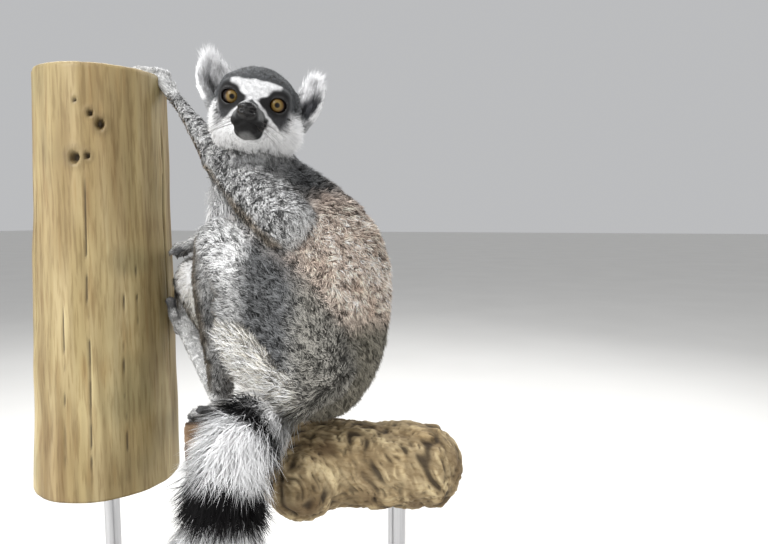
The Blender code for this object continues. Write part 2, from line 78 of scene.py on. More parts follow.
def unit(vectors: Array) -> Array:
    """Vectors scaled to length one, along the last axis."""
    size = np.linalg.norm(vectors, axis=-1, keepdims=True)
    return vectors / np.maximum(size, 1e-12)


def step_up(value: Array, low: float, high: float) -> Array:
    """A smooth rise from 0 at low to 1 at high; low may be the larger."""
    t = np.clip((value - low) / (high - low), 0.0, 1.0)
    return t * t * (3.0 - 2.0 * t)


def plain(colour: Colour, count: int) -> Array:
    """Rows of one colour."""
    return np.tile(np.array(colour), (count, 1))


def flatten(vectors: Array, normals: Array) -> Array:
    """Vectors without their share along the normals."""
    return vectors - (vectors * normals).sum(axis=1, keepdims=True) * normals


def turned(first: Array, second: Array, angle: Array) -> Array:
    """Directions turned from first towards second by an angle, row by row."""
    return first * np.cos(angle)[:, None] + second * np.sin(angle)[:, None]


def blend(first: Array, second: Sequence[float] | Array, share: Array) -> Array:
    """Rows of colour moved from first towards second by share.

    Args:
        first: one colour per row.
        second: one colour, or one per row.
        share: how far each row moves, 0 to 1.

    Returns:
        One colour per row.
    """
    share = np.asarray(share)[..., None]
    return first * (1.0 - share) + np.asarray(second) * share


def mark(
    first: Array, second: Colour, measure: Array, low: float, high: float, most: float = 1.0
) -> Array:
    """Colours moved towards another as a measure goes from low to high.

    Args:
        first: one colour per row.
        second: the colour they move to.
        measure: one number per row.
        low: the measure at which the change begins; it may be the larger.
        high: the measure at which it is complete.
        most: how far the rows move in the end, 0 to 1.

    Returns:
        One colour per row.
    """
    return blend(first, second, most * step_up(measure, low, high))


def cell_number(cells: Array) -> Array:
    """One well mixed whole number for each cell of a grid."""
    x, y, z = (cells * CELL_PRIMES).T
    return x ^ y ^ z


def mottle(points: Array, cell: float, seed: int) -> Array:
    """Smooth repeatable noise between -1 and 1.

    Args:
        points: places, one per row, in metres.
        cell: size of the noise's features in metres.
        seed: picks one of many patterns.

    Returns:
        One value per row.
    """
    scaled = points / cell + 512.0
    low = np.floor(scaled).astype(np.int64)
    part = scaled - low
    part = part * part * (3.0 - 2.0 * part)
    total = np.zeros(len(points))
    for corner in product((0, 1), repeat=3):
        mixed = cell_number(low + np.array(corner)) ^ seed * SEED_PRIME
        mixed = (mixed ^ (mixed >> 13)) * FIRST_PRIME & KEPT_BITS
        mixed = (mixed ^ (mixed >> 11)) * SECOND_PRIME & KEPT_BITS
        weight = np.prod(np.where(corner, part, 1.0 - part), axis=1)
        total += weight * ((mixed >> 8 & CHANCE_BITS) / HALF_CHANCE - 1.0)
    return total


def smooth_line(rows: Array, steps: int) -> Array:
    """Catmull-Rom rows through the given rows.

    Args:
        rows: control rows, at least two.
        steps: new rows for each old interval.

    Returns:
        The finer rows, ends included.
    """
    padded = np.vstack([2 * rows[0] - rows[1], rows, 2 * rows[-1] - rows[-2]])
    made = []
    for i in range(1, len(padded) - 2):
        a, b, c, d = padded[i - 1 : i + 3]
        for t in (k / steps for k in range(steps)):
            curve = 2 * b + (c - a) * t + (2 * a - 5 * b + 4 * c - d) * t * t
            made.append(0.5 * (curve + (3 * b - a - 3 * c + d) * t**3))
    return np.array([*made, rows[-1]])


# --- volumes


@dataclass
class Volume:
    """A closed shape that can say how far points lie from its surface."""

    def reach(self) -> Pair:
        """Lowest and highest corner of the shape."""
        raise NotImplementedError

    def distance(self, points: Array) -> Array:
        """About how far each point lies outside the surface, negative inside."""
        raise NotImplementedError


@dataclass
class Ball(Volume):
    """An ellipsoid."""

    centre: Array
    halves: Place
    axes: Array = field(default_factory=lambda: np.eye(3))

    def reach(self) -> Pair:
        """Lowest and highest corner of the shape."""
        size = max(self.halves)
        return self.centre - size, self.centre + size

    def distance(self, points: Array) -> Array:
        """About how far each point lies outside the surface, negative inside."""
        local = (points - self.centre) @ self.axes.T / np.array(self.halves)
        return (np.linalg.norm(local, axis=-1) - 1.0) * min(self.halves)


@dataclass
class HalfSpace(Volume):
    """Everything that lies beyond a plane, on the side its direction points to."""

    place: Array
    facing: Array

    def reach(self) -> Pair:
        """Lowest and highest corner of the shape, well outside any sculpture."""
        return self.place - 1.0, self.place + 1.0

    def distance(self, points: Array) -> Array:
        """How far each point lies from the plane, negative beyond it."""
        return (self.place - points) @ self.facing


@dataclass
class Tube(Volume):
    """A tube of elliptical section through stations (x, y, z, half width, half depth)."""

    stations: Array
    side: Place | Array = (0.0, 1.0, 0.0)
    steps: int = 3
    domes: tuple[float, float] = (0.8, 0.8)
    inset: float = 0.0

    def __post_init__(self) -> None:
        """Works out the finer line, its tangents and its section axes."""
        rows = np.array([list(station) for station in self.stations], float)
        rows = smooth_line(rows, self.steps)
        self.line = rows[:, :3]
        self.widths = np.maximum(rows[:, 3:] - self.inset, 0.0008)
        lean = np.gradient(self.line, axis=0)
        self.tangents = unit(lean)
        steps = np.linalg.norm(np.diff(self.line, axis=0), axis=1)
        self.along = np.concatenate([[0.0], np.cumsum(steps)])

    def reach(self) -> Pair:
        """Lowest and highest corner of the shape."""
        size = self.widths.max(axis=1, keepdims=True)
        return (self.line - size).min(axis=0), (self.line + size).max(axis=0)

    def trace(self, points: Array) -> tuple[Array, Array, Array, Array]:
        """Finds each point's nearest place along the tube.

        Args:
            points: one place per row.

        Returns:
            Distance, metres along the line, tangent there, and angle round the tube.
        """
        shape = points.shape[:-1]
        flat = points.reshape(-1, 3)
        best = np.full(len(flat), 1e9)
        run = np.zeros(len(flat))
        turn = np.zeros(len(flat))
        which = np.zeros(len(flat), int)
        last = len(self.line) - 2
        for i in range(last + 1):
            start, end = self.line[i], self.line[i + 1]
            length = np.linalg.norm(end - start)
            tangent = (end - start) / length
            side = np.array(self.side) - np.dot(self.side, tangent) * tangent
            side = side / np.linalg.norm(side)
            across = np.cross(tangent, side)
            offset = flat - start
            travel = offset @ tangent
            share = np.clip(travel / length, 0.0, 1.0)
            wide = self.widths[i, 0] + (self.widths[i + 1, 0] - self.widths[i, 0]) * share
            deep = self.widths[i, 1] + (self.widths[i + 1, 1] - self.widths[i, 1]) * share
            small = np.minimum(wide, deep)
            past = travel - share * length
            dome = np.where(past < 0, self.domes[0], self.domes[1]) if i in (0, last) else 1.0
            u, v = offset @ side, offset @ across
            ring = np.sqrt((u / wide) ** 2 + (v / deep) ** 2 + (past / (small * dome)) ** 2)
            value = (ring - 1.0) * small
            near = value < best
            best = np.where(near, value, best)
            run = np.where(near, self.along[i] + share * length, run)
            turn = np.where(near, np.arctan2(v, u), turn)
            which = np.where(near, i, which)
        return (
            best.reshape(shape), run.reshape(shape), self.tangents[which].reshape(*shape, 3),
            turn.reshape(shape),
        )

    def distance(self, points: Array) -> Array:
        """About how far each point lies outside the surface, negative inside."""
        return self.trace(points)[0]


class Work(Enum):
    """What a volume does to the sculpture."""

    JOIN = "join"
    CUT = "cut"


@dataclass
class Stroke:
    """One volume added to or taken from the sculpture, blended over a short distance."""

    work: Work
    volume: Volume
    soft: float
    part: str = ""


@dataclass
class Sculpture:
    """A list of strokes that together describe one smooth closed surface."""

    strokes: list[Stroke] = field(default_factory=list)

    def join(self, part: str, volume: Volume, soft: float = 0.004) -> None:
        """Adds a volume that belongs to the named part of the body."""
        self.strokes.append(Stroke(Work.JOIN, volume, soft, part))

    def cut(self, volume: Volume, soft: float = 0.0008) -> None:
        """Takes a volume away."""
        self.strokes.append(Stroke(Work.CUT, volume, soft))

    def reach(self, pad: float) -> Pair:
        """Lowest and highest corner of all strokes, moved out by pad."""
        lows, highs = zip(*(stroke.volume.reach() for stroke in self.strokes))
        return np.min(lows, axis=0) - pad, np.max(highs, axis=0) + pad

    def block(self, low: Array, high: Array, cell: float) -> Pair:
        """Meshes the surface inside a box.

        Args:
            low: lowest corner of the box.
            high: highest corner of the box.
            cell: grid spacing in metres.

        Returns:
            Vertices, and quads as rows of four vertex numbers.
        """
        low = np.asarray(low, float)
        count = np.ceil((np.asarray(high) - low) / cell).astype(int) + 1
        value = np.full(count, FAR)
        for stroke in self.strokes:
            below, above = stroke.volume.reach()
            pad = stroke.soft + 2.5 * cell
            first = np.maximum(np.floor((below - pad - low) / cell).astype(int), 0)
            after = np.minimum(np.ceil((above + pad - low) / cell).astype(int) + 1, count)
            if (after <= first).any():
                continue
            window = tuple(slice(a, b) for a, b in zip(first, after))
            ticks = [low[k] + cell * np.arange(first[k], after[k]) for k in range(3)]
            points = np.stack(np.meshgrid(*ticks, indexing="ij"), axis=-1)
            found = stroke.volume.distance(points)
            now = value[window]
            soft = max(stroke.soft, 1e-5)
            if stroke.work is Work.JOIN:
                near = np.maximum(soft - np.abs(now - found), 0.0) / soft
                value[window] = np.minimum(now, found) - near * near * soft * 0.25
            else:
                near = np.maximum(soft - np.abs(now + found), 0.0) / soft
                value[window] = np.maximum(now, -found) + near * near * soft * 0.25
        return surface_nets(value, low, cell)


def surface_nets(value: Array, low: Array, cell: float) -> Pair:
    """Meshes the zero level of a grid of values.

    Args:
        value: signed distances on the grid, negative inside.
        low: place of the grid's first corner.
        cell: grid spacing.

    Returns:
        Vertices, and quads as rows of four vertex numbers.
    """
    inside = value < 0
    size = np.array(value.shape) - 1
    corners = list(product((0, 1), repeat=3))
    total = np.zeros(size, np.int8)
    for x, y, z in corners:
        total += inside[x : x + size[0], y : y + size[1], z : z + size[2]]
    active = np.argwhere((total > 0) & (total < 8))
    number = np.full(size, -1, np.int64)
    number[tuple(active.T)] = np.arange(len(active))
    held = np.stack([value[tuple((active + c).T)] for c in corners], axis=1)
    place = np.zeros((len(active), 3))
    hits = np.zeros(len(active))
    for i, j in product(range(8), repeat=2):
        a, b = np.array(corners[i]), np.array(corners[j])
        if i >= j or np.abs(a - b).sum() != 1:
            continue
        crossing = (held[:, i] < 0) != (held[:, j] < 0)
        share = held[:, i] / np.where(crossing, held[:, i] - held[:, j], 1.0)
        place += np.where(crossing[:, None], a + (b - a) * share[:, None], 0.0)
        hits += crossing
    vertices = low + cell * (active + place / hits[:, None])
    quads = []
    for axis in range(3):
        one, two = (axis + 1) % 3, (axis + 2) % 3
        ahead = np.roll(inside, -1, axis=axis)
        change = inside != ahead
        edge = [slice(None)] * 3
        edge[axis] = slice(0, size[axis])
        edge[one], edge[two] = slice(1, size[one]), slice(1, size[two])
        where = np.argwhere(change[tuple(edge)])
        where[:, one] += 1
        where[:, two] += 1
        ring = []
        for back_one, back_two in ((1, 1), (0, 1), (0, 0), (1, 0)):
            at = where.copy()
            at[:, one] -= back_one
            at[:, two] -= back_two
            ring.append(number[tuple(at.T)])
        ring = np.stack(ring, axis=1)
        leaving = inside[tuple(where.T)]
        quads.append(np.where(leaving[:, None], ring, ring[:, ::-1]))
    return vertices, np.vstack(quads)


# --- mesh helpers


def mesh_object(name: str, vertices: Array, faces: Array) -> Piece:
    """Links a new smooth-shaded mesh object.

    Args:
        name: the piece's name.
        vertices: one place per row.
        faces: rows of vertex numbers, all of one length.

    Returns:
        The new object.
    """
    mesh = bpy.data.meshes.new(name)
    mesh.vertices.add(len(vertices))
    mesh.vertices.foreach_set("co", vertices.astype(np.float32).ravel())
    mesh.loops.add(faces.size)
    mesh.loops.foreach_set("vertex_index", faces.astype(np.int32).ravel())
    mesh.polygons.add(len(faces))
    starts = np.arange(0, faces.size, faces.shape[1], dtype=np.int32)
    mesh.polygons.foreach_set("loop_start", starts)
    mesh.polygons.foreach_set("use_smooth", np.ones(len(faces), bool))
    mesh.update(calc_edges=True)
    made = bpy.data.objects.new(name, mesh)
    bpy.context.scene.collection.objects.link(made)
    return made


def dress(piece: Piece, finish: bpy.types.Material, slot: str, *nodes: str) -> None:
    """Finishes a piece, puts it under the root and hides the frame's nodes that it stands for.

    Args:
        piece: the mesh.
        finish: its material.
        slot: the record's material slot; not used.
        nodes: the frame's nodes that it stands for.
    """
    piece.data.materials.append(finish)
    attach(piece, "root")
    if nodes:
        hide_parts(*nodes)
    LOG.info("built %s", piece.name)


def circle(count: int) -> Array:
    """Cosine and sine of evenly spaced turns, one pair per row."""
    turns = np.arange(count) * 2 * math.pi / count
    return np.stack([np.cos(turns), np.sin(turns)], axis=1)


def ring_faces(rings: int, sides: int) -> Array:
    """Quads that join rings of vertices which follow one another.

    Args:
        rings: how many rings there are.
        sides: how many vertices each ring has.

    Returns:
        Four vertex numbers per row.
    """
    k = np.arange(sides)
    after = (k + 1) % sides
    ring = np.stack([k, after, after + sides, k + sides], axis=1)
    return copies(ring, rings - 1, sides)


def copies(faces: Array, count: int, step: int) -> Array:
    """The same faces again and again, each time step vertices further."""
    return (np.arange(count)[:, None, None] * step + faces).reshape(-1, faces.shape[1])


def close_ends(made: Piece, rings: int, sides: int) -> None:
    """Gives the first and the last ring of a mesh made of rings one face each.

    Args:
        made: the object to close.
        rings: how many rings there are.
        sides: how many vertices each ring has.
    """
    bm = bmesh.new()
    bm.from_mesh(made.data)
    bm.verts.ensure_lookup_table()
    last = (rings - 1) * sides
    for ring in (range(sides - 1, -1, -1), range(last, last + sides)):
        bm.faces.new([bm.verts[k] for k in ring])
    bm.to_mesh(made.data)
    bm.free()


def vertex_normals(vertices: Array, quads: Array) -> Array:
    """Area-weighted normals of a quad mesh, one per vertex.

    Args:
        vertices: one place per row.
        quads: four vertex numbers per row.

    Returns:
        One unit normal per row.
    """
    a, b, c, d = (vertices[quads[:, k]] for k in range(4))
    flat = np.cross(c - a, d - b)
    total = np.zeros_like(vertices)
    for k in range(4):
        for axis in range(3):
            total[:, axis] += np.bincount(quads[:, k], flat[:, axis], len(vertices))
    return unit(total)


def relax(vertices: Array, quads: Array, rounds: int, amount: float = 0.5) -> Array:
    """Evens out a quad mesh.

    Args:
        vertices: one place per row.
        quads: rows of four vertex numbers.
        rounds: how many times to smooth.
        amount: how far each vertex moves towards its neighbours' middle.

    Returns:
        The moved vertices.
    """
    first, second = quads.ravel(), np.roll(quads, -1, axis=1).ravel()
    size = len(vertices)
    count = np.bincount(first, minlength=size) + np.bincount(second, minlength=size)
    for _ in range(rounds):
        total = np.zeros_like(vertices)
        for axis in range(3):
            total[:, axis] += np.bincount(first, vertices[second, axis], size)
            total[:, axis] += np.bincount(second, vertices[first, axis], size)
        middle = total / np.maximum(count, 1)[:, None]
        vertices = vertices + (middle - vertices) * amount
    return vertices


def paint(obj: Piece, name: str, colours: Array) -> None:
    """Stores one colour per vertex on the object's mesh.

    Args:
        obj: the object to colour.
        name: the colour layer's name.
        colours: one linear colour per vertex.
    """
    layer = obj.data.color_attributes.new(name, "FLOAT_COLOR", "POINT")
    full = np.ones((len(colours), 4), np.float32)
    full[:, : colours.shape[1]] = colours
    layer.data.foreach_set("color", full.ravel())


def weigh(obj: Piece, name: str, values: Array) -> None:
    """Stores one number per vertex on the object's mesh."""
    layer = obj.data.attributes.new(name, "FLOAT", "POINT")
    layer.data.foreach_set("value", values.astype(np.float32))


def tone(red: int, green: int, blue: int) -> Colour:
    """A display colour, 0 to 255 a channel, as linear light.

    Args:
        red: the red channel.
        green: the green channel.
        blue: the blue channel.

    Returns:
        The linear colour.
    """

    def straight(value: int) -> float:
        """One channel as linear light."""
        share = value / 255.0
        return share / 12.92 if share <= 0.04045 else ((share + 0.055) / 1.055) ** 2.4

    return straight(red), straight(green), straight(blue)


# --- the pose


class Side(Enum):
    """Which side of the animal."""

    LEFT = "left"
    RIGHT = "right"

    @property
    def way(self) -> int:
        """+1 for the left, -1 for the right, as the head's own left axis runs."""
        return 1 if self is Side.LEFT else -1


@dataclass(frozen=True)
class Limb:
    """The joints of one side, measured from the middle of the pelvis."""

    hip: Place
    knee: Place
    ankle: Place
    shoulder: Place
    elbow: Place
    wrist: Place


@dataclass(frozen=True)
class Pose:
    """Where the parts of the animal and its perch lie."""

    pelvis: Place = (0.118, 0.022, 0.552)
    left: Limb = Limb(
        hip=(0.006, -0.041, 0.004), knee=(-0.0655, -0.0365, 0.0995), ankle=(-0.099, 0.012, -0.026),
        shoulder=(-0.011, -0.044, 0.113), elbow=(-0.0762, -0.0183, 0.161),
        wrist=(-0.159, 0.0445, 0.2255),
    )
    right: Limb = Limb(
        hip=(-0.002, 0.038, 0.004), knee=(-0.148, 0.05, 0.063), ankle=(-0.078, 0.044, -0.036),
        shoulder=(-0.014, 0.04, 0.122), elbow=(-0.052, 0.082, 0.068), wrist=(-0.131, 0.064, 0.101),
    )
    head: Place = (-0.0381, -0.0308, 0.192)
    heading: Place = (0.375, -0.927, 0.0)
    roll: float = math.radians(-10.0)
    eye: Place = (0.0205, 0.0147, 0.0035)
    post_axis: Place = (-0.2245, 0.033, 0.0)
    post_lean: Place = (-0.02, -0.005, 0.0)
    post_top: float = 0.2435
    post_bottom: float = -0.125
    post_radius_top: float = 0.0547
    post_radius_bottom: float = 0.0632
    branch_radius: float = 0.034
    tail: tuple[Place, ...] = (
        (-0.006, -0.022, -0.01), (-0.02, -0.047, -0.02), (-0.028, -0.071, -0.029),
        (-0.03, -0.09, -0.044), (-0.028, -0.103, -0.07), (-0.034, -0.113, -0.104),
        (-0.042, -0.118, -0.16), (-0.046, -0.115, -0.235), (-0.04, -0.108, -0.31),
        (-0.028, -0.101, -0.385), (-0.02, -0.102, -0.445), (-0.032, -0.11, -0.487),
    )

    def at(self, place: Sequence[float]) -> Array:
        """A place measured from the pelvis, in the shared frame."""
        return np.array(self.pelvis) + np.array(place, float)

    def local(self, points: Array) -> Array:
        """Places in the shared frame, measured from the pelvis."""
        return points - np.array(self.pelvis)

    def in_head(self, points: Array) -> Array:
        """Places in the shared frame, in the head's own axes."""
        return (points - self.at(self.head)) @ self.head_axes().T

    def limb(self, side: Side) -> Limb:
        """The joints of that side."""
        return self.left if side is Side.LEFT else self.right

    def head_axes(self) -> Array:
        """Rows: the head's forward, left and up directions.

        Returns:
            Three unit rows.
        """
        forward = unit(np.array(self.heading))
        level = unit(np.cross((0.0, 0.0, 1.0), forward))
        up = np.cross(forward, level)
        left = level * math.cos(self.roll) + up * math.sin(self.roll)
        return np.array([forward, left, np.cross(forward, left)])

    def head_point(self, forward: float, left: float, up: float) -> Array:
        """A place in the head's own axes, in the shared frame."""
        return self.at(self.head) + np.array([forward, left, up]) @ self.head_axes()

    def post_middle(self, height: float) -> Array:
        """The middle of the post at a height above the pelvis."""
        lean = np.array(self.post_lean) * (self.post_top - height)
        return np.array(self.post_axis) + lean + np.array([0.0, 0.0, height])

    def post_radius(self, height: float) -> float:
        """The post's radius at a height above the pelvis."""
        share = (self.post_top - height) / (self.post_top - self.post_bottom)
        return self.post_radius_top + (self.post_radius_bottom - self.post_radius_top) * share

    def on_post(self, turn: float, height: float, away: float) -> Array:
        """A place beside the post, turn in degrees from +X towards +Y."""
        reach, turn = self.post_radius(height) + away, math.radians(turn)
        return self.post_middle(height) + reach * np.array([math.cos(turn), math.sin(turn), 0.0])

    def branch_middle(self, x: float) -> Array:
        """The middle of the branch at that x."""
        return np.array([x, 0.004 + 0.3 * max(0.0, x - 0.03), -0.0765 + 0.085 * min(0.0, x)])

    def on_branch(self, x: float, turn: float, away: float) -> Array:
        """A place beside the branch, turn in degrees from its top towards the body's left."""
        reach, turn = self.branch_radius + away, math.radians(turn)
        return self.branch_middle(x) + reach * np.array([0.0, -math.sin(turn), math.cos(turn)])


# --- the sculpted skin


class Region(Enum):
    """A stretch of coat, exported as a piece of its own."""

    HEAD = "head"
    TRUNK = "trunk"
    LEGS = "legs"
    ARMS = "arms"
    PAWS = "paws"
    TAIL = "tail"


@dataclass
class Guide:
    """A tube that says which way the coat lies near it."""

    region: Region
    tube: Tube
    inner: Array
    name: str = ""
    side: Side = Side.LEFT


@dataclass(frozen=True)
class CoatDepth:
    """How far the skin lies under the tips of the coat, in metres."""

    trunk: float = 0.0052
    thigh: float = 0.005
    shank: float = 0.0035
    arm: float = 0.004
    forearm: float = 0.0024
    neck: float = 0.005
    crown: float = 0.0032
    muzzle: float = 0.0012
    tail: float = 0.0135
    paw: float = 0.0006


class Body:
    """The lemur's sculpture: every muscle, digit and fold as a blend of volumes."""

    def __init__(self, pose: Pose, depth: CoatDepth) -> None:
        """Lays out all strokes and guides.

        Args:
            pose: where the parts lie.
            depth: how far the skin lies under the coat.
        """
        self.pose = pose
        self.depth = depth
        self.ear_leans = {1: 0.36, -1: 0.5}
        self.ear_roots = {1: -0.001, -1: 0.002}
        self.axes = pose.head_axes()
        self.coarse = Sculpture()
        self.fine_head = Sculpture()
        names = ("hand_left", "hand_right", "foot_left", "foot_right")
        self.paws = {name: Sculpture() for name in names}
        self.guides: list[Guide] = []
        self.tips: dict[str, list[tuple[Array, Array, Array]]] = {}
        self.shape_trunk()
        for side in Side:
            self.shape_leg(side)
            self.shape_arm(side)
        self.shape_neck()
        self.shape_tail()
        self.shape_head()
        self.shape_hand_left()
        self.shape_hand_right()
        self.shape_foot_left()
        self.shape_foot_right()

    def guide(self, region: Region, tube: Tube, inner: Place, name: str, side: Side = Side.LEFT) -> None:
        """Records which way the coat lies along a tube."""
        self.guides.append(Guide(region, tube, unit(np.array(inner, float)), name, side))

    def tube(self, rows: Rows, **facts: object) -> Tube:
        """A tube whose stations are measured from the pelvis.

        Args:
            rows: place and half widths of each station.
            facts: further fields of the tube.

        Returns:
            The placed tube.
        """
        base = np.array(self.pose.pelvis)
        placed = [(*(base + np.array(row[:3])), *row[3:]) for row in rows]
        return Tube(placed, **facts)

    def stalk(self, name: str, rows: Rows, domes: Domes, soft: float, inner: Place) -> None:
        """Adds trunk or neck, whose coat lies from its top down.

        Args:
            name: the part's name.
            rows: stations from the bottom up.
            domes: how far each end bulges.
            soft: how softly it blends in.
            inner: the direction of its inner side.
        """
        inset = getattr(self.depth, name)
        self.coarse.join(name, self.tube(rows, domes=domes, inset=inset), soft)
        down = self.tube(rows[::-1], domes=domes[::-1], inset=inset)
        self.guide(Region.TRUNK, down, inner, name)

    def shape_trunk(self) -> None:
        """The barrel of the body with shoulder blades, ribs and belly."""
        rows = [
            (-0.002, 0.0, -0.014, 0.038, 0.03), (0.001, 0.0, 0.008, 0.047, 0.042),
            (0.0, 0.0, 0.044, 0.051, 0.053), (-0.006, 0.0, 0.082, 0.049, 0.0565),
            (-0.031, -0.002, 0.114, 0.042, 0.048), (-0.047, -0.007, 0.139, 0.033, 0.034),
        ]
        self.stalk("trunk", rows, (0.7, 0.4), 0.012, (-1.0, 0.0, -0.2))

    def shape_neck(self) -> None:
        """The short neck inside its ruff, and the breast below it."""
        rows = [
            (-0.043, -0.012, 0.142, 0.027, 0.027), (-0.043, -0.018, 0.158, 0.026, 0.026),
            (-0.04, -0.025, 0.176, 0.024, 0.024),
        ]
        self.stalk("neck", rows, (0.4, 0.4), 0.01, (-0.9, -0.4, -0.1))
        chest = self.pose.at((-0.066, -0.006, 0.119))
        self.coarse.join("chest", Ball(chest, (0.017, 0.021, 0.028)), 0.014)

    def shape_leg(self, side: Side) -> None:
        """Thigh, hamstrings, knee, calf and shin of one side.

        Args:
            side: the side to shape.
        """
        limb = self.pose.limb(side)
        hip, knee, ankle = (np.array(p) for p in (limb.hip, limb.knee, limb.ankle))
        along, calf = knee - hip, ankle - knee
        rise = unit(np.array([along[2], 0.0, -along[0]]))
        drop, thick = np.array([-0.3, 0.0, -0.55]), self.depth.thigh
        upper = (
            (-0.02, 0.0, 0.026, 0.033), (0.18, 0.003, 0.03, 0.04), (0.45, 0.008, 0.029, 0.041),
            (0.76, 0.006, 0.025, 0.033), (0.98, 0.001, 0.021, 0.0225),
        )
        under = (
            (0.02, 0.014, 0.023, 0.025), (0.22, 0.03, 0.025, 0.028), (0.48, 0.038, 0.022, 0.025),
            (0.74, 0.036, 0.016, 0.018),
        )
        thigh, ham = (
            self.tube([(*(hip + along * s + lift * far), w, d) for s, far, w, d in rows], inset=thick)
            for lift, rows in ((rise, upper), (drop, under))
        )
        self.coarse.join(f"thigh_{side.value}", thigh, 0.009)
        self.coarse.join(f"thigh_{side.value}", ham, 0.0045)
        fold = []
        for share, lift in ((0.22, 0.03), (0.36, 0.0335), (0.5, 0.0335), (0.66, 0.03)):
            place = hip + along * share + rise * 0.021 - np.array([0.0, side.way * lift, 0.0])
            fold.append((*place, 0.0018 + 0.012 * (0.1 - (share - 0.44) ** 2), 0.0042))
        self.coarse.cut(self.tube(fold), 0.005)
        self.guide(Region.LEGS, thigh, (0.0, 0.8 * side.way, -0.3), "thigh", side)
        lower = (
            (0.02, 0.0195, 0.021), (0.25, 0.0205, 0.024), (0.55, 0.017, 0.0195), (0.82, 0.013, 0.014),
            (1.0, 0.011, 0.012),
        )
        shank = self.tube([(*(knee + calf * s), w, d) for s, w, d in lower], inset=self.depth.shank)
        self.coarse.join(f"shank_{side.value}", shank, 0.0035)
        self.guide(Region.LEGS, shank, (0.7, 0.6 * side.way, 0.0), "shank", side)

    def shape_arm(self, side: Side) -> None:
        """Shoulder, upper arm, elbow and forearm of one side.

        Args:
            side: the side to shape.
        """
        limb = self.pose.limb(side)
        shoulder, elbow, wrist = (np.array(p) for p in (limb.shoulder, limb.elbow, limb.wrist))
        soft = 0.008
        for name, start, end, widths, inset in (
            ("upper_arm", shoulder, elbow, (0.0215, 0.0212, 0.0182, 0.0142), self.depth.arm),
            ("forearm", elbow, wrist, (0.0138, 0.01, 0.007, 0.006), self.depth.forearm),
        ):
            rows = [
                (*(start + (end - start) * share), w, w)
                for share, w in zip((0.0, 0.35, 0.7, 1.0), widths)
            ]
            tube = self.tube(rows, inset=inset)
            self.coarse.join(f"{name}_{side.value}", tube, soft)
            lie = self.tube(rows[::-1], inset=inset) if side is Side.LEFT else tube
            self.guide(Region.ARMS, lie, (0.2, 0.4 * side.way, -1.0), name, side)
            soft = 0.006

    def shape_tail(self) -> None:
        """The tail's core, which its long coat hides."""
        line = np.array(self.pose.tail)
        steps = np.linalg.norm(np.diff(line, axis=0), axis=1)
        share = np.concatenate([[0.0], np.cumsum(steps)]) / steps.sum()
        rows = []
        for place, s in zip(line, share):
            root = min(1.0, 0.62 + 4.0 * s)
            tip = min(1.0, math.sqrt(max(0.0, 1.02 - s) / 0.14))
            wide = 0.0268 * root * (1.0 - 0.1 * s) * (0.35 + 0.65 * tip)
            rows.append((*place, wide, wide))
        rows[-1] = (*(line[-1] + np.array([0.006, 0.004, 0.012])), 0.016, 0.016)
        tail = self.tube(rows, side=(1.0, 0.2, 0.0), steps=4, inset=self.depth.tail)
        self.coarse.join("tail", tail, 0.008)
        self.guide(Region.TAIL, tail, (0.0, 0.0, -1.0), "tail")

    def head_ball(self, place: Place, halves: Place) -> Ball:
        """An ellipsoid in the head's axes."""
        return Ball(self.pose.head_point(*place), halves, self.axes)

    def head_tube(self, rows: Rows, **facts: object) -> Tube:
        """A tube in the head's axes, its first width across the head."""
        placed = [(*self.pose.head_point(*row[:3]), *row[3:]) for row in rows]
        return Tube(placed, side=self.axes[1], **facts)

    def shape_head(self) -> None:
        """Skull, brows, cheeks, muzzle, jaw, lids, nose and ears."""
        head, depth = self.fine_head, self.depth
        cranium = [
            (-0.032, 0.0, 0.002, 0.022, 0.021), (-0.016, 0.0, 0.003, 0.03, 0.028),
            (0.0, 0.0, 0.002, 0.0325, 0.0305), (0.012, 0.0, 0.0, 0.0285, 0.0265),
        ]
        head.join("head", self.head_tube(cranium, domes=(0.8, 0.5), inset=depth.crown), 0.004)
        muzzle = [
            (0.01, 0.0, -0.008, 0.0175, 0.016), (0.024, 0.0, -0.009, 0.0115, 0.0128),
            (0.038, 0.0, -0.01, 0.01, 0.0102), (0.0455, 0.0, -0.01, 0.0084, 0.0084),
        ]
        head.join("muzzle", self.head_tube(muzzle, domes=(0.5, 0.6), inset=depth.muzzle), 0.006)
        leather = self.head_ball((0.0505, 0.0, -0.0074), (0.0046, 0.0064, 0.0048))
        head.join("nose", leather, 0.0016)
        head.join("jaw", self.head_ball((0.01, 0.0, -0.0185), (0.02, 0.015, 0.0095)), 0.005)
        chin = [
            (0.012, 0.0, -0.02, 0.011, 0.0085), (0.03, 0.0, -0.0192, 0.0086, 0.0054),
            (0.041, 0.0, -0.0192, 0.0062, 0.004),
        ]
        head.join("chin", self.head_tube(chin), 0.0022)
        for way in (1, -1):
            half = 0.015 if way > 0 else 0.0115
            cheek = self.head_ball((0.002, way * 0.015, -0.012), (0.016, half, 0.0145))
            head.join("cheek", cheek, 0.008)
            brow = self.head_ball((0.014, way * 0.011, 0.0128), (0.0095, 0.011, 0.0072))
            head.join("brow", brow, 0.006)
            self.shape_ear(way)
            eye = self.pose.head_point(*self.eye_place(way))
            head.join("lids", Ball(eye, (0.0097, 0.0097, 0.0097)), 0.003)
            ridge = self.head_ball((0.024, way * 0.0128, 0.0108), (0.005, 0.0085, 0.003))
            head.join("ridge", ridge, 0.0035)
            pad = self.head_ball((0.0405, way * 0.0054, -0.0142), (0.0074, 0.0052, 0.0052))
            head.join("lip", pad, 0.003)
        self.shape_eyes_and_nose()
        nose = self.pose.head_point(0.052, 0.0, -0.007)
        back = self.pose.head_point(-0.034, 0.0, 0.002)
        line = Tube([(*nose, 0.01, 0.01), (*back, 0.03, 0.03)], side=self.axes[1])
        self.guide(Region.HEAD, line, tuple(-self.axes[2]), "head")

    def eye_place(self, way: int) -> Place:
        """The middle of an eyeball in the head's axes."""
        ahead, aside, up = self.pose.eye
        return ahead, way * aside, up

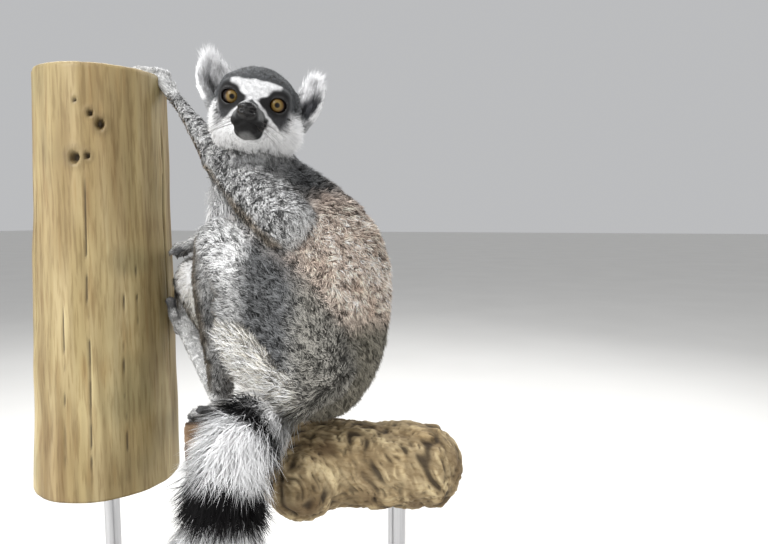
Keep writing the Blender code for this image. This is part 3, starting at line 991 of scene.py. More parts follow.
    def gaze(self, way: int) -> Array:
        """The direction an eye looks in."""
        return unit(np.array([0.981, 0.115 + way * 0.03, -0.15]) @ self.axes)

    def lid_frame(self, way: int) -> Array:
        """Rows: the direction an eye's lids open in, their left and their up.

        Args:
            way: 1 for the left, -1 for the right.

        Returns:
            Three unit rows.
        """
        out = unit(np.array([1.0, way * 0.17 + 0.05, -0.07]) @ self.axes)
        left = unit(np.cross(self.axes[2], out))
        up = np.cross(out, left)
        wide, high = math.cos(way * 0.12), math.sin(way * 0.12)
        return np.array([out, left * wide + up * high, up * wide - left * high])

    def shape_eyes_and_nose(self) -> None:
        """Lid openings, sockets, nostrils and the crease of the mouth."""
        head = self.fine_head
        for way in (1, -1):
            eye = self.pose.head_point(*self.eye_place(way))
            frame = self.lid_frame(way)
            window = Ball(eye + frame[0] * 0.008 - frame[2] * 0.0008, (0.007, 0.0057, 0.0046), frame)
            head.cut(window, 0.0008)
            head.cut(Ball(eye, (0.0084, 0.0084, 0.0084)), 0.0003)
            nostril = [
                (0.0544, way * 0.0024, -0.0088, 0.0015, 0.0013),
                (0.0528, way * 0.0042, -0.0082, 0.0016, 0.0012),
                (0.0502, way * 0.0062, -0.0086, 0.0009, 0.0008),
            ]
            head.cut(self.head_tube(nostril), 0.0007)
            crease = [
                (0.05, 0.0, -0.015, 0.0011, 0.0011), (0.046, way * 0.0056, -0.0166, 0.0013, 0.0012),
                (0.0375, way * 0.0098, -0.0184, 0.0012, 0.0011),
                (0.027, way * 0.0124, -0.0196, 0.0009, 0.0009),
            ]
            head.cut(self.head_tube(crease), 0.001)
            rim = [
                (0.051, way * 0.006, -0.0118, 0.0006, 0.0006),
                (0.0522, way * 0.0022, -0.0124, 0.0006, 0.0006), (0.0526, 0.0, -0.0128, 0.0006, 0.0006),
            ]
            head.cut(self.head_tube(rim), 0.0008)
        groove = [
            (0.055, 0.0, -0.0094, 0.0006, 0.0006), (0.053, 0.0, -0.0126, 0.0007, 0.0007),
            (0.0505, 0.0, -0.015, 0.0008, 0.0008),
        ]
        head.cut(self.head_tube(groove), 0.001)

    def ear_frame(self, way: int) -> tuple[Array, Array, Array]:
        """Root place, lean and broad direction of an ear.

        Args:
            way: 1 for the left, -1 for the right.

        Returns:
            The place and the two unit directions.
        """
        forward, left, up = self.axes
        lean = unit(up + left * (way * self.ear_leans[way]) - forward * 0.12)
        broad = left * (way * 0.6) + forward * 0.6 - up * 0.3
        broad = unit(broad - np.dot(broad, lean) * lean)
        return self.pose.head_point(-0.01, way * 0.0275, self.ear_roots[way]), lean, broad

    def shape_ear(self, way: int) -> None:
        """A cupped ear whose hollow faces forward and out.

        Args:
            way: 1 for the left, -1 for the right.
        """
        root, lean, broad = self.ear_frame(way)
        open_way = unit(np.cross(lean, broad))
        if np.dot(open_way, self.axes[0] + self.axes[1] * way * 0.6) < 0:
            open_way = -open_way
        rows = []
        for far, wide, deep in (
            (0.0, 0.0098, 0.0072), (0.01, 0.0122, 0.0068), (0.02, 0.012, 0.0054),
            (0.027, 0.0078, 0.0036), (0.0305, 0.0036, 0.002),
        ):
            rows.append((*(root + lean * far - open_way * 0.001), wide, deep))
        shell = Tube(rows, side=broad)
        self.fine_head.join("ear", shell, 0.004)
        middle = root + lean * 0.0165 + open_way * 0.006
        frame = np.array([lean, broad, open_way])
        self.fine_head.cut(Ball(middle, (0.0128, 0.0092, 0.0076), frame), 0.0018)
        well = root + lean * 0.007 + open_way * 0.003
        self.fine_head.cut(Ball(well, (0.007, 0.0054, 0.0066), frame), 0.003)
        guide = Tube([(*root, 0.012, 0.006), (*(root + lean * 0.0305), 0.006, 0.003)], side=broad)
        self.guide(Region.HEAD, guide, tuple(open_way), "ear", Side.LEFT if way > 0 else Side.RIGHT)

    def digit(self, paw: str, points: Sequence[Array], thick: float, soft: float = 0.0018) -> None:
        """Adds a finger or toe with knuckles and a pad at its tip.

        Args:
            paw: the hand's or foot's name.
            points: root, middle joint and tip.
            thick: half width with its coat.
            soft: how softly it blends in.
        """
        thick = thick - self.depth.paw
        root, middle, tip = (np.array(p) for p in points)
        rows = [
            (*root, thick, thick), (*(root + (middle - root) * 0.55), thick * 0.9, thick * 0.9),
            (*middle, thick * 1.02, thick * 1.02),
            (*(middle + (tip - middle) * 0.6), thick * 0.84, thick * 0.84),
            (*tip, thick * 0.96, thick * 0.9),
        ]
        side = unit(np.cross(tip - root, middle - root) + 1e-6)
        tube = Tube(rows, side=side)
        self.paws[paw].join(paw, tube, soft)
        self.guide(Region.PAWS, tube, (0.0, 0.0, -1.0), paw)
        self.tips[paw].append((middle, tip, side))

    def palm(self, paw: str, rows: Sequence[Sequence[float]], side: Sequence[float]) -> None:
        """Adds the flat of a hand or foot.

        Args:
            paw: the hand's or foot's name.
            rows: place and half widths of each station.
            side: the direction of its width.
        """
        tube = Tube([(*r[0], r[1] - self.depth.paw, r[2] - self.depth.paw) for r in rows], side=side)
        self.paws[paw].join(paw, tube, 0.003)
        self.guide(Region.PAWS, tube, (0.0, 0.0, -1.0), paw)
        self.tips[paw] = []

    def shape_hand_left(self) -> None:
        """The hand laid over the rim of the post, fingers on its top and thumb round its far side."""
        at, top = self.pose.at, self.pose.post_top
        wrist, knuckles = at(self.pose.left.wrist), at((-0.177, 0.049, top + 0.003))
        along, across = np.array([-0.96, 0.28, 0.0]), np.array([0.28, 0.96, 0.0])
        rows = [(wrist, 0.0066, 0.0062), ((wrist + knuckles) / 2, 0.0085, 0.006)]
        self.palm("hand_left", [*rows, (knuckles, 0.0105, 0.0052)], across)
        for i, spread in enumerate((-0.011, -0.004, 0.004, 0.011)):
            reach = 0.03 - 0.003 * abs(i - 1.4)
            root = knuckles + across * spread * 0.6 - along * 0.004
            middle = knuckles + across * spread * 0.95 + along * (0.5 * reach) + (0, 0, 0.003)
            tip = knuckles + across * spread * 1.25 + along * reach
            tip[2] = self.pose.pelvis[2] + top + 0.0042
            self.digit("hand_left", (root, middle, tip), 0.0038)
        thumb = (
            wrist + (knuckles - wrist) * 0.4 + across * 0.003,
            at(self.pose.on_post(32, top - 0.004, 0.005)),
            at(self.pose.on_post(50, top - 0.012, 0.0045)),
        )
        self.digit("hand_left", thumb, 0.004)

    def shape_hand_right(self) -> None:
        """The hand resting on the knee, its fingers hanging over the front."""
        wrist, knuckles = self.pose.at(self.pose.right.wrist), self.pose.at((-0.149, 0.056, 0.0945))
        rows = [(wrist, 0.0085, 0.0075), (knuckles, 0.0115, 0.0065)]
        self.palm("hand_right", rows, (0.0, 1.0, 0.0))
        for i, spread in enumerate((-0.013, -0.004, 0.005, 0.014)):
            short = 0.003 * abs(i - 1.4)
            root = knuckles + (0.004, spread * 0.6, 0.0)
            middle = knuckles + (-0.01, spread * 0.9, -0.003)
            tip = knuckles + (-0.0145, spread * 1.05, -0.013 + short)
            self.digit("hand_right", (root, middle, tip), 0.0038)
        thumb = (
            wrist + (knuckles - wrist) * 0.4 + (0.0, -0.007, 0.0), knuckles + (0.006, -0.018, -0.001),
            knuckles + (-0.002, -0.026, -0.008),
        )
        self.digit("hand_right", thumb, 0.004)

    def shape_foot_left(self) -> None:
        """The foot that steps up the side of the post, toes round its far side."""
        on_post = lambda *a: self.pose.at(self.pose.on_post(*a))  # noqa: E731
        heel = self.pose.at(self.pose.left.ankle) + (0.0, 0.002, -0.01)
        ball = on_post(20, 0.024, 0.0105)
        rows = [(heel, 0.01, 0.0105), ((heel + ball) / 2, 0.012, 0.009)]
        self.palm("foot_left", [*rows, (ball, 0.0135, 0.0075)], (0.3, 1.0, 0.0))
        for i in range(4):
            path = (
                on_post(20 + 7 * i, 0.022, 0.008), on_post(30 + 13 * i, 0.036, 0.006),
                on_post(36 + 15 * i, 0.047 - 0.003 * abs(i - 1.3), 0.0042),
            )
            self.digit("foot_left", path, 0.0041)
        big = (on_post(14, 0.012, 0.008), on_post(8, 0.028, 0.0064), on_post(6, 0.041, 0.005))
        self.digit("foot_left", big, 0.005)

    def shape_foot_right(self) -> None:
        """The foot laid along the far side of the branch, toes curled round it."""
        on_branch = lambda *a: self.pose.at(self.pose.on_branch(*a))  # noqa: E731
        heel, ball = on_branch(-0.074, -50, 0.0105), on_branch(-0.122, -52, 0.009)
        rows = [(heel, 0.01, 0.01), ((heel + ball) / 2, 0.012, 0.0085)]
        self.palm("foot_right", [*rows, (ball, 0.013, 0.0075)], (0.0, 0.6, -0.8))
        for i in range(4):
            turn = -40 - 16 * i
            reach = 0.148 - 0.004 * abs(i - 1.3)
            path = (
                on_branch(-0.118, -46 - 6 * i, 0.008), on_branch(-0.136, turn, 0.006),
                on_branch(-reach, turn - 8, 0.0045),
            )
            self.digit("foot_right", path, 0.0041)
        big = (
            on_branch(-0.1, -50, 0.008), on_branch(-0.113, -32, 0.0062), on_branch(-0.122, -18, 0.005),
        )
        self.digit("foot_right", big, 0.0048)


# --- markings


@dataclass(frozen=True)
class Palette:
    """The colours of the lemur's coat and bare skin, as linear light."""

    pale_grey: Colour = tone(198, 198, 197)
    grey: Colour = tone(156, 156, 155)
    slate: Colour = tone(84, 85, 86)
    crown: Colour = tone(64, 66, 68)
    rosy: Colour = tone(220, 201, 186)
    russet: Colour = tone(170, 144, 126)
    rump: Colour = tone(118, 114, 103)
    # Painted shade: the arms' cream underside darkened to tan where it faces down.
    tan: Colour = tone(156, 142, 124)
    # Painted shade: a dark olive for the forward side of thigh and shin.
    olive_shade: Colour = tone(84, 75, 62)
    cream: Colour = tone(224, 218, 205)
    white: Colour = tone(246, 246, 247)
    black: Colour = tone(15, 14, 15)
    soot: Colour = tone(60, 60, 63)


@dataclass
class Field:
    """What is known at each skin vertex near one guide."""

    guide: Guide
    points: Array
    normals: Array
    run: Array

    def base(self, colour: Colour) -> Array:
        """One colour for every row."""
        return plain(colour, len(self.points))

    def facing(self, *way: float) -> Array:
        """How far every row's normal points along a direction."""
        return self.normals @ np.array(way)

    def noise(self, cell: float, seed: int) -> Array:
        """Smooth noise at every row."""
        return mottle(self.points, cell, seed)


@dataclass(frozen=True)
class Markings:
    """Colours of skin and coat by place on the body, shared by both."""

    pose: Pose
    palette: Palette

    def colours(self, place: Field) -> Array:
        """The colour of each row, by the guide it lies near.

        Args:
            place: the places to colour, near one guide.

        Returns:
            One colour per row.
        """
        painter: dict[str, Callable[[Field], Array]] = {
            "trunk": self.trunk, "neck": self.neck, "thigh": self.thigh, "shank": self.shank,
            "upper_arm": self.arm, "forearm": self.arm, "tail": self.tail, "head": self.head,
            "ear": self.ear,
        }
        made = painter.get(place.guide.name, self.paw)(place)
        if place.guide.name in ("head", "ear", "forearm", "tail"):
            return made
        return blend(made, self.palette.white, self.breast(place.points))

    def trunk(self, place: Field) -> Array:
        """Rosy back and flanks, dark nape, brown rump and white belly.

        Args:
            place: the places to colour, near one guide.

        Returns:
            One colour per row.
        """
        ink = self.palette
        local = self.pose.local(place.points)
        wander = 0.18 * place.noise(0.022, 3) + 0.08 * place.noise(0.007, 4)
        made = place.base(ink.rosy)
        made = mark(made, ink.russet, place.noise(0.009, 15), 0.0, 0.8, 0.5)
        made = mark(made, ink.rump, local[:, 2] + 0.02 * wander, 0.058, 0.03)
        made = mark(made, ink.slate, local[:, 2] + 0.03 * wander, 0.11, 0.146)
        belly = step_up(-place.normals[:, 0] - 0.1 * np.abs(place.normals[:, 1]) + wander, 0.18, 0.5)
        return blend(made, ink.white, belly)

    def neck(self, place: Field) -> Array:
        """Dark nape and sides, white throat.

        Args:
            place: the places to colour, near one guide.

        Returns:
            One colour per row.
        """
        ink = self.palette
        wander = 0.15 * place.noise(0.014, 5)
        made = place.base(ink.slate)
        made = mark(made, ink.soot, place.noise(0.01, 16), 0.0, 0.8, 0.4)
        throat = -0.95 * place.normals[:, 0] - 0.25 * place.normals[:, 1] + wander
        return mark(made, ink.white, throat, 0.45, 0.75)

    def breast(self, points: Array) -> Array:
        """How far places lie in the white fluff of the breast, between arm and knee.

        Args:
            points: one place per row.

        Returns:
            A share from 0 to 1 per row.
        """
        away = (self.pose.local(points) - (-0.07, -0.008, 0.119)) / (0.026, 0.03, 0.036)
        near = step_up(np.sqrt((away**2).sum(axis=1)), 1.2, 0.95)
        return near * step_up(points[:, 1] - self.pose.pelvis[1], -0.038, -0.031)

    def fringe(self, points: Array) -> Array:
        """How far places lie in the long cream fluff along the underside of the thigh.

        Args:
            points: one place per row.

        Returns:
            A share from 0 to 1 per row.
        """
        local = self.pose.local(points)
        edge = local[:, 0] + local[:, 2] + 0.003 * mottle(points, 0.01, 17)
        low = step_up(edge, 0.011, 0.0) * step_up(local[:, 0], -0.066, -0.054)
        low = low * step_up(local[:, 2] + 0.003 * mottle(points, 0.008, 19), 0.042, 0.032)
        return low * step_up(local[:, 0] + 0.003 * mottle(points, 0.008, 18), 0.014, 0.0)

    def thigh(self, place: Field) -> Array:
        """Grey outside, white within, cream along the rear underside, painted shade in dark olive on the
        forward side.

        Args:
            place: the places to colour, near one guide.

        Returns:
            One colour per row.
        """
        ink = self.palette
        way = place.guide.side.way
        wander = 0.16 * place.noise(0.016, 6)
        local = self.pose.local(place.points)
        made = place.base(ink.grey)
        band = step_up(local[:, 0] + 0.03 * wander, -0.046, -0.026) * step_up(local[:, 0], 0.016, -0.006)
        made = blend(made, ink.slate, 0.95 * band * step_up(local[:, 2], 0.004, 0.024))
        knee = step_up(local[:, 0], -0.026, -0.048) * step_up(local[:, 2] + 0.02 * wander, 0.064, 0.086)
        made = blend(made, ink.pale_grey, knee)
        shin = step_up(local[:, 0], -0.046, -0.07) * (1.0 - knee)
        made = blend(made, ink.slate, 0.5 * shin)
        # Painted shade: dark olive on the forward-facing side of the thigh.
        rim = place.facing(-0.95, 0.0, 0.1)
        made = mark(made, ink.olive_shade, rim + wander, 0.5, 0.82, 0.85)
        inner = place.facing(0.0, 1.0 * way, -0.15)
        made = mark(made, ink.white, inner + wander, 0.25, 0.6)
        low = self.fringe(place.points)
        made = blend(made, ink.cream, low)
        return blend(made, ink.rump, 0.7 * step_up(local[:, 0], -0.006, 0.012) * (1.0 - low))

    def shank(self, place: Field) -> Array:
        """Grey outside, cream within, with painted shade in dark olive where the shin faces forward and
        down.

        Args:
            place: the places to colour, near one guide.

        Returns:
            One colour per row.
        """
        ink = self.palette
        wander = 0.15 * place.noise(0.012, 8)
        made = place.base(ink.grey)
        made = mark(made, ink.slate, place.noise(0.02, 9), -0.6, 0.4, 0.7)
        inner = place.facing(0.1, 1.0 * place.guide.side.way, 0.0)
        made = mark(made, ink.cream, inner + wander, 0.15, 0.6)
        # Painted shade: dark olive where the shin faces forward and down.
        shin = place.facing(-0.9, 0.0, -0.25)
        return mark(made, ink.olive_shade, shin + wander, 0.2, 0.62, 0.9)

    def arm(self, place: Field) -> Array:
        """Pale grey outside, cream beneath, with painted shade in tan on the downward-facing underside.

        Args:
            place: the places to colour, near one guide.

        Returns:
            One colour per row.
        """
        ink = self.palette
        wander = 0.15 * place.noise(0.012, 10)
        made = place.base(ink.pale_grey)
        made = mark(made, ink.grey, place.noise(0.018, 11), 0.0, 0.8, 0.7)
        # Painted shade: tan where the cream underside faces down.
        under = place.normals @ unit(np.array([-0.55, 0.0, -0.8]))
        made = mark(made, ink.tan, under + wander, 0.36, 0.66, 0.8)
        inner = place.normals @ unit(np.array([-0.1, 0.9 * place.guide.side.way, -0.5]))
        return mark(made, ink.cream, inner + wander, 0.25, 0.65)

    def tail(self, place: Field) -> Array:
        """Black and white rings that end in a black tip.

        Args:
            place: the places to colour, near one guide.

        Returns:
            One colour per row.
        """
        ink = self.palette
        run = place.run + 0.0022 * place.noise(0.008, 12)
        made = mark(place.base(ink.pale_grey), ink.white, run, 0.02, 0.034, 0.5)
        start, pitch, edge, last = 0.0435, 0.0425, 0.0022, 11
        for ring in range(last + 1):
            dark_from = start + ring * pitch
            dark_to = dark_from + (0.022 if ring else 0.0125)
            if ring == last:
                dark_to = 1.0
            dark = step_up(run, dark_from - edge, dark_from + edge)
            dark = dark * step_up(run, dark_to + edge, dark_to - edge)
            made = blend(made, ink.white, step_up(run, dark_to - edge, dark_to + edge))
            made = blend(made, ink.black, dark)
        return made

    def head(self, place: Field) -> Array:
        """White brow, cheeks and throat; dark crown, eye patches and muzzle; grey painted shade under
        the chin.

        Args:
            place: the places to colour, near one guide.

        Returns:
            One colour per row.
        """
        ink = self.palette
        ahead, side, up = self.pose.in_head(place.points).T
        side = np.abs(side)
        wander = place.noise(0.005, 13) * 0.0011
        made = place.base(ink.white)
        over = up - (0.0163 - 6.0 * side**2) + wander
        grey = step_up(over, -0.0008, 0.0012)
        temple = step_up(side + wander, 0.015, 0.0174) * step_up(up + wander, -0.004, 0.003)
        behind = step_up(-ahead + wander, 0.002, 0.014) * step_up(up, -0.014, -0.002)
        made = blend(made, ink.crown, np.maximum(np.maximum(grey, temple), behind))
        low_back = step_up(-ahead, 0.01, 0.026) * step_up(up, 0.0, -0.012)
        made = blend(made, ink.pale_grey, 0.6 * low_back)
        vee = up - (0.0012 + 0.62 * side) + wander
        strip = up - (0.0037 - 0.94 * side) + wander
        ring = np.hypot((side - 0.014) / 0.0108, (up + 0.0008) / 0.0128) + wander * 60
        patch = step_up(ring, 1.16 + 0.16 * step_up(up, 0.0, -0.01), 0.8) * step_up(vee, 0.0006, -0.001)
        patch = patch * step_up(strip, 0.0004, 0.0018) * step_up(ahead, 0.004, 0.012)
        away = step_up(up, 0.0, -0.008) + step_up(side, 0.02, 0.024)
        under = blend(place.base(ink.black), ink.soot, np.minimum(0.9 * away, 1.0))
        made = blend(made, under, patch)
        lids = np.array(self.pose.eye) + (0.003, 0.0, 0.0)
        eye = np.linalg.norm(np.stack([ahead, side, up], axis=1) - lids, axis=1)
        made = mark(made, ink.black, eye + wander, 0.0108, 0.0086)
        back = 0.0272 + np.where(up > -0.013, 0.45 * (up + 0.013), -0.3 * (up + 0.013))
        snout = step_up(ahead - back + wander, -0.001, 0.0014)
        snout = snout * step_up(strip, -0.0002, -0.0014)
        jaw = up + 0.0213 + 0.4 * np.maximum(side - 0.003, 0.0) + wander
        lips = step_up(up + 0.25 * (ahead - 0.04), -0.0095, -0.0125)
        bridge = mark(place.base(ink.slate), ink.grey, side + wander, 0.004, 0.009, 0.35)
        dark = blend(bridge, ink.black, np.maximum(lips, step_up(ahead, 0.046, 0.049)))
        dark = mark(dark, ink.grey, jaw, 0.0014, -0.0022, 0.65)
        made = blend(made, dark, snout)
        # Painted shade: grey under the chin, behind the mouth.
        chin = step_up(up, -0.0225, -0.025) * step_up(ahead, 0.02, 0.004)
        return blend(made, ink.grey, chin * 0.9)

    def ear(self, place: Field) -> Array:
        """White tufted ears with painted shade in the hollow, darkest in its lower and outer part and
        stronger in the left ear.

        Args:
            place: the places to colour, near one guide.

        Returns:
            One colour per row.
        """
        ink = self.palette
        made = place.base(ink.white)
        # Painted shade in the hollow: dark low and outside, light grey above, and stronger in the left
        # ear than the right.
        hollow = step_up(place.normals @ place.guide.inner, 0.25, 0.6)
        away = self.pose.in_head(place.points)
        low = step_up(away[:, 2] - 0.45 * np.abs(away[:, 1]) + 0.0155, 0.0175, 0.0105)
        shade = np.where(away[:, 1] > 0, 1.0, 0.72)
        made = blend(made, ink.soot, hollow * low * shade)
        made = blend(made, ink.grey, 0.2 * hollow * (1.0 - low))
        return mark(made, ink.crown, place.run, 0.007, 0.001, 0.7)

    def paw(self, place: Field) -> Array:
        """Pale backs of the hands and feet, dark towards the tips of the digits.

        Args:
            place: the places to colour, near one guide.

        Returns:
            One colour per row.
        """
        ink = self.palette
        made = place.base(ink.pale_grey)
        made = mark(made, ink.grey, place.noise(0.006, 14), 0.0, 0.8)
        if place.guide.tube.widths.max() > 0.005:
            return made
        return mark(made, ink.soot, place.run, 0.018, 0.026, 0.85)


# --- the skin mesh


@dataclass(frozen=True)
class SkinGrid:
    """Grid spacings of the sculpture, in metres."""

    body: float = 0.0019
    head: float = 0.0008
    paw: float = 0.0008


@dataclass
class Roots:
    """Places on the skin, one row each, with the lie, colour and guide of the coat there."""

    points: Array
    normals: Array
    flow: Array
    colour: Array
    guide: Array
    run: Array
    turn: Array


@dataclass
class Pelt(Roots):
    """The skin's vertices with everything the coat needs to know at each."""

    quads: Array
    bare: Array


Box = tuple[Array, Array, float]


@dataclass
class SkinMaker:
    """Meshes the sculpture and surveys it."""

    body: Body
    markings: Markings
    grid: SkinGrid

    def boxes(self) -> list[Box]:
        """The boxes meshed on a finer grid.

        Returns:
            Low corner, high corner and cell of each box.
        """
        middle = self.body.pose.at(self.body.pose.head)
        found = [(middle - (0.066, 0.066, 0.036), middle + (0.066, 0.066, 0.062), self.grid.head)]
        return found + [(*paw.reach(0.005), self.grid.paw) for paw in self.body.paws.values()]

    def outside(self, points: Array, quads: Array, boxes: list[Box], slack: float) -> Array:
        """Which quads lie in none of the boxes, each made smaller by slack.

        Args:
            points: one place per row.
            quads: four vertex numbers per row.
            boxes: the boxes to stay out of.
            slack: how much smaller each box is made.

        Returns:
            One truth value per quad.
        """
        middles = points[quads].mean(axis=1)
        keep = np.ones(len(quads), bool)
        for low, high, _ in boxes:
            keep &= ~((middles > low + slack) & (middles < high - slack)).all(axis=1)
        return keep

    def mesh(self) -> Pair:
        """Vertices and quads of the whole skin.

        Returns:
            Places and vertex numbers, one row each.
        """
        body, cell = self.body, self.grid.body
        whole = Sculpture([*body.coarse.strokes, *body.fine_head.strokes])
        for paw in body.paws.values():
            whole.strokes += paw.strokes
        boxes = self.boxes()
        points, quads = whole.block(*whole.reach(0.01), cell)
        parts = [(points, quads[self.outside(points, quads, boxes, 0.6 * cell)])]
        for i, (low, high, cell) in enumerate(boxes):
            points, quads = whole.block(low, high, cell)
            keep = self.outside(points, quads, boxes[:i], cell)
            parts.append((relax(points, quads, 2, 0.35), quads[keep]))
        starts = np.cumsum([0, *(len(part[0]) for part in parts)])
        points = np.vstack([part[0] for part in parts])
        quads = np.vstack([part[1] + start for part, start in zip(parts, starts)])
        used, inverse = np.unique(quads, return_inverse=True)
        return points[used], inverse.reshape(quads.shape)

    def survey(self) -> Pelt:
        """Meshes the skin and finds colour, lie of the coat and nearest guide at each vertex.

        Returns:
            The skin with all that the coat needs.
        """
        points, quads = self.mesh()
        normals = vertex_normals(points, quads)
        count = len(points)
        nearest, which = np.full(count, 1e9), np.zeros(count, int)
        runs, turns = np.zeros(count), np.zeros(count)
        held = []
        for i, guide in enumerate(self.body.guides):
            low, high = guide.tube.reach()
            index = np.flatnonzero(((points > low - 0.02) & (points < high + 0.02)).all(axis=1))
            if not len(index):
                continue
            gap, run, tangent, turn = guide.tube.trace(points[index])
            if guide.name == "head":
                gap = self.skull_gap(points[index])
                away = points[index] - self.body.pose.head_point(0.056, 0.0, -0.004)
                tangent = unit(unit(away) + 0.25 * -self.body.axes[0])
                run = np.linalg.norm(away, axis=1)
            if guide.name == "ear":
                gap = gap - 0.002
            held.append((guide, index, gap, run, tangent))
            better = gap < nearest[index]
            chosen = index[better]
            nearest[chosen], which[chosen] = gap[better], i
            runs[chosen], turns[chosen] = run[better], turn[better]
        flow, colour, weight = np.zeros((count, 3)), np.zeros((count, 3)), np.zeros(count)
        for guide, index, gap, run, tangent in held:
            soft = 0.0035 if guide.name in ("head", "ear", "neck") else 0.003
            share, loose = (
                np.exp(-np.clip((gap - nearest[index]) / size, 0.0, 30.0)) for size in (soft, 0.008)
            )
            facing = (tangent * normals[index]).sum(axis=1) ** 2
            flow[index] += tangent * (loose * (1.0 - facing) ** 2)[:, None]
            good = share > 0.02
            index, share = index[good], share[good]
            place = Field(guide, points[index], normals[index], run[good])
            colour[index] += self.markings.colours(place) * share[:, None]
            weight[index] += share
        colour /= np.maximum(weight, 1e-6)[:, None]
        flow, bare = self.comb(flow, normals, quads), self.bare(points, normals, which)
        return Pelt(points, normals, flow, colour, which, runs, turns, quads, bare)

    def skull_gap(self, points: Array) -> Array:
        """How far points lie from the volumes of the head, its ears left out.

        Args:
            points: one place per row.

        Returns:
            One distance per row.
        """
        strokes = self.body.fine_head.strokes
        solid = [s.volume for s in strokes if s.work is Work.JOIN and s.part != "ear"]
        return np.min([volume.distance(points) for volume in solid], axis=0) - 0.0005

    def comb(self, flow: Array, normals: Array, quads: Array) -> Array:
        """Evens out the lie of the coat along the skin, so that it has no sudden whorls.

        Args:
            flow: the lie of the coat at each vertex.
            normals: one unit normal per vertex.
            quads: four vertex numbers per row.

        Returns:
            One unit direction per vertex.
        """
        flow = flow + np.array([0.0, 0.0, -0.12])
        for _ in range(10):
            flow = flatten(relax(flow, quads, 1, 0.6), normals)
        return unit(flow)

    def bare(self, points: Array, normals: Array, which: Array) -> Array:
        """How bare the skin is at each vertex: nose leather, lids, palms and pads.

        Args:
            points: one place per vertex.
            normals: one unit normal per vertex.
            which: the number of each vertex's guide.

        Returns:
            A share from 0 to 1 per vertex.
        """
        body = self.body
        local = body.pose.in_head(points)
        nose = np.linalg.norm((local - (0.0512, 0.0, -0.008)) / (0.0064, 0.0074, 0.0061), axis=1)
        made = step_up(nose, 1.08, 0.94)
        for way in (1, -1):
            away = points - body.pose.head_point(*body.eye_place(way))
            gap = np.linalg.norm(away, axis=1)
            rim = np.linalg.norm(away - body.lid_frame(way)[0] * 0.0085, axis=1)
            made = np.maximum(made, step_up(rim, 0.0076, 0.0064) * step_up(gap, 0.0108, 0.01))
            made = np.maximum(made, step_up(gap, 0.009, 0.0087))
        for i, guide in enumerate(body.guides):
            if guide.region is Region.PAWS:
                mine = which == i
                made[mine] = np.maximum(made[mine], step_up(normals[mine] @ guide.inner, 0.62, 0.86))
        return made


# --- the coat


@dataclass(frozen=True)
class Hair:
    """How the coat grows along one kind of guide; lengths in metres, angles in degrees.

    Locks of about clump across have their tips drawn together by the share given as wool.
    """

    length: float
    width: float
    lean: float
    lift: float
    density: float = 1.0
    droop: float = 0.0
    curl: float = 0.0
    clump: float = 0.004
    speckle: float = 0.22
    wool: float = 0.5


COAT: dict[str, Hair] = {
    "trunk": Hair(0.0066, 0.00064, 50, 26, clump=0.003, curl=0.5, speckle=0.6, wool=0.7),
    "neck": Hair(0.0072, 0.00062, 44, 20, density=1.3, clump=0.0034, curl=0.36, speckle=0.55),
    "thigh": Hair(0.0064, 0.00064, 50, 26, clump=0.0028, curl=0.52, speckle=1.15, wool=0.7),
    "shank": Hair(0.0056, 0.0006, 44, 20, density=1.3, clump=0.0028, curl=0.42, speckle=0.85),
    "upper_arm": Hair(0.0058, 0.00058, 46, 22, clump=0.0026, curl=0.42, speckle=1.4, wool=0.68),
    "forearm": Hair(0.0052, 0.00054, 30, 8, density=1.4, clump=0.0028, curl=0.24, speckle=1.1),
    "tail": Hair(0.026, 0.00075, 40, 30, clump=0.0085, curl=0.3, droop=0.1, speckle=0.22, wool=0.45),
    "head": Hair(0.0066, 0.00042, 24, 9, clump=0.0026, speckle=0.9, wool=0.25),
    "ear": Hair(0.006, 0.0004, 26, 12, density=1.3, clump=0.003, speckle=0.3, wool=0.25),
}
PAW_HAIR = Hair(0.003, 0.00042, 20, 8, clump=0.0024, speckle=0.45, wool=0.3)


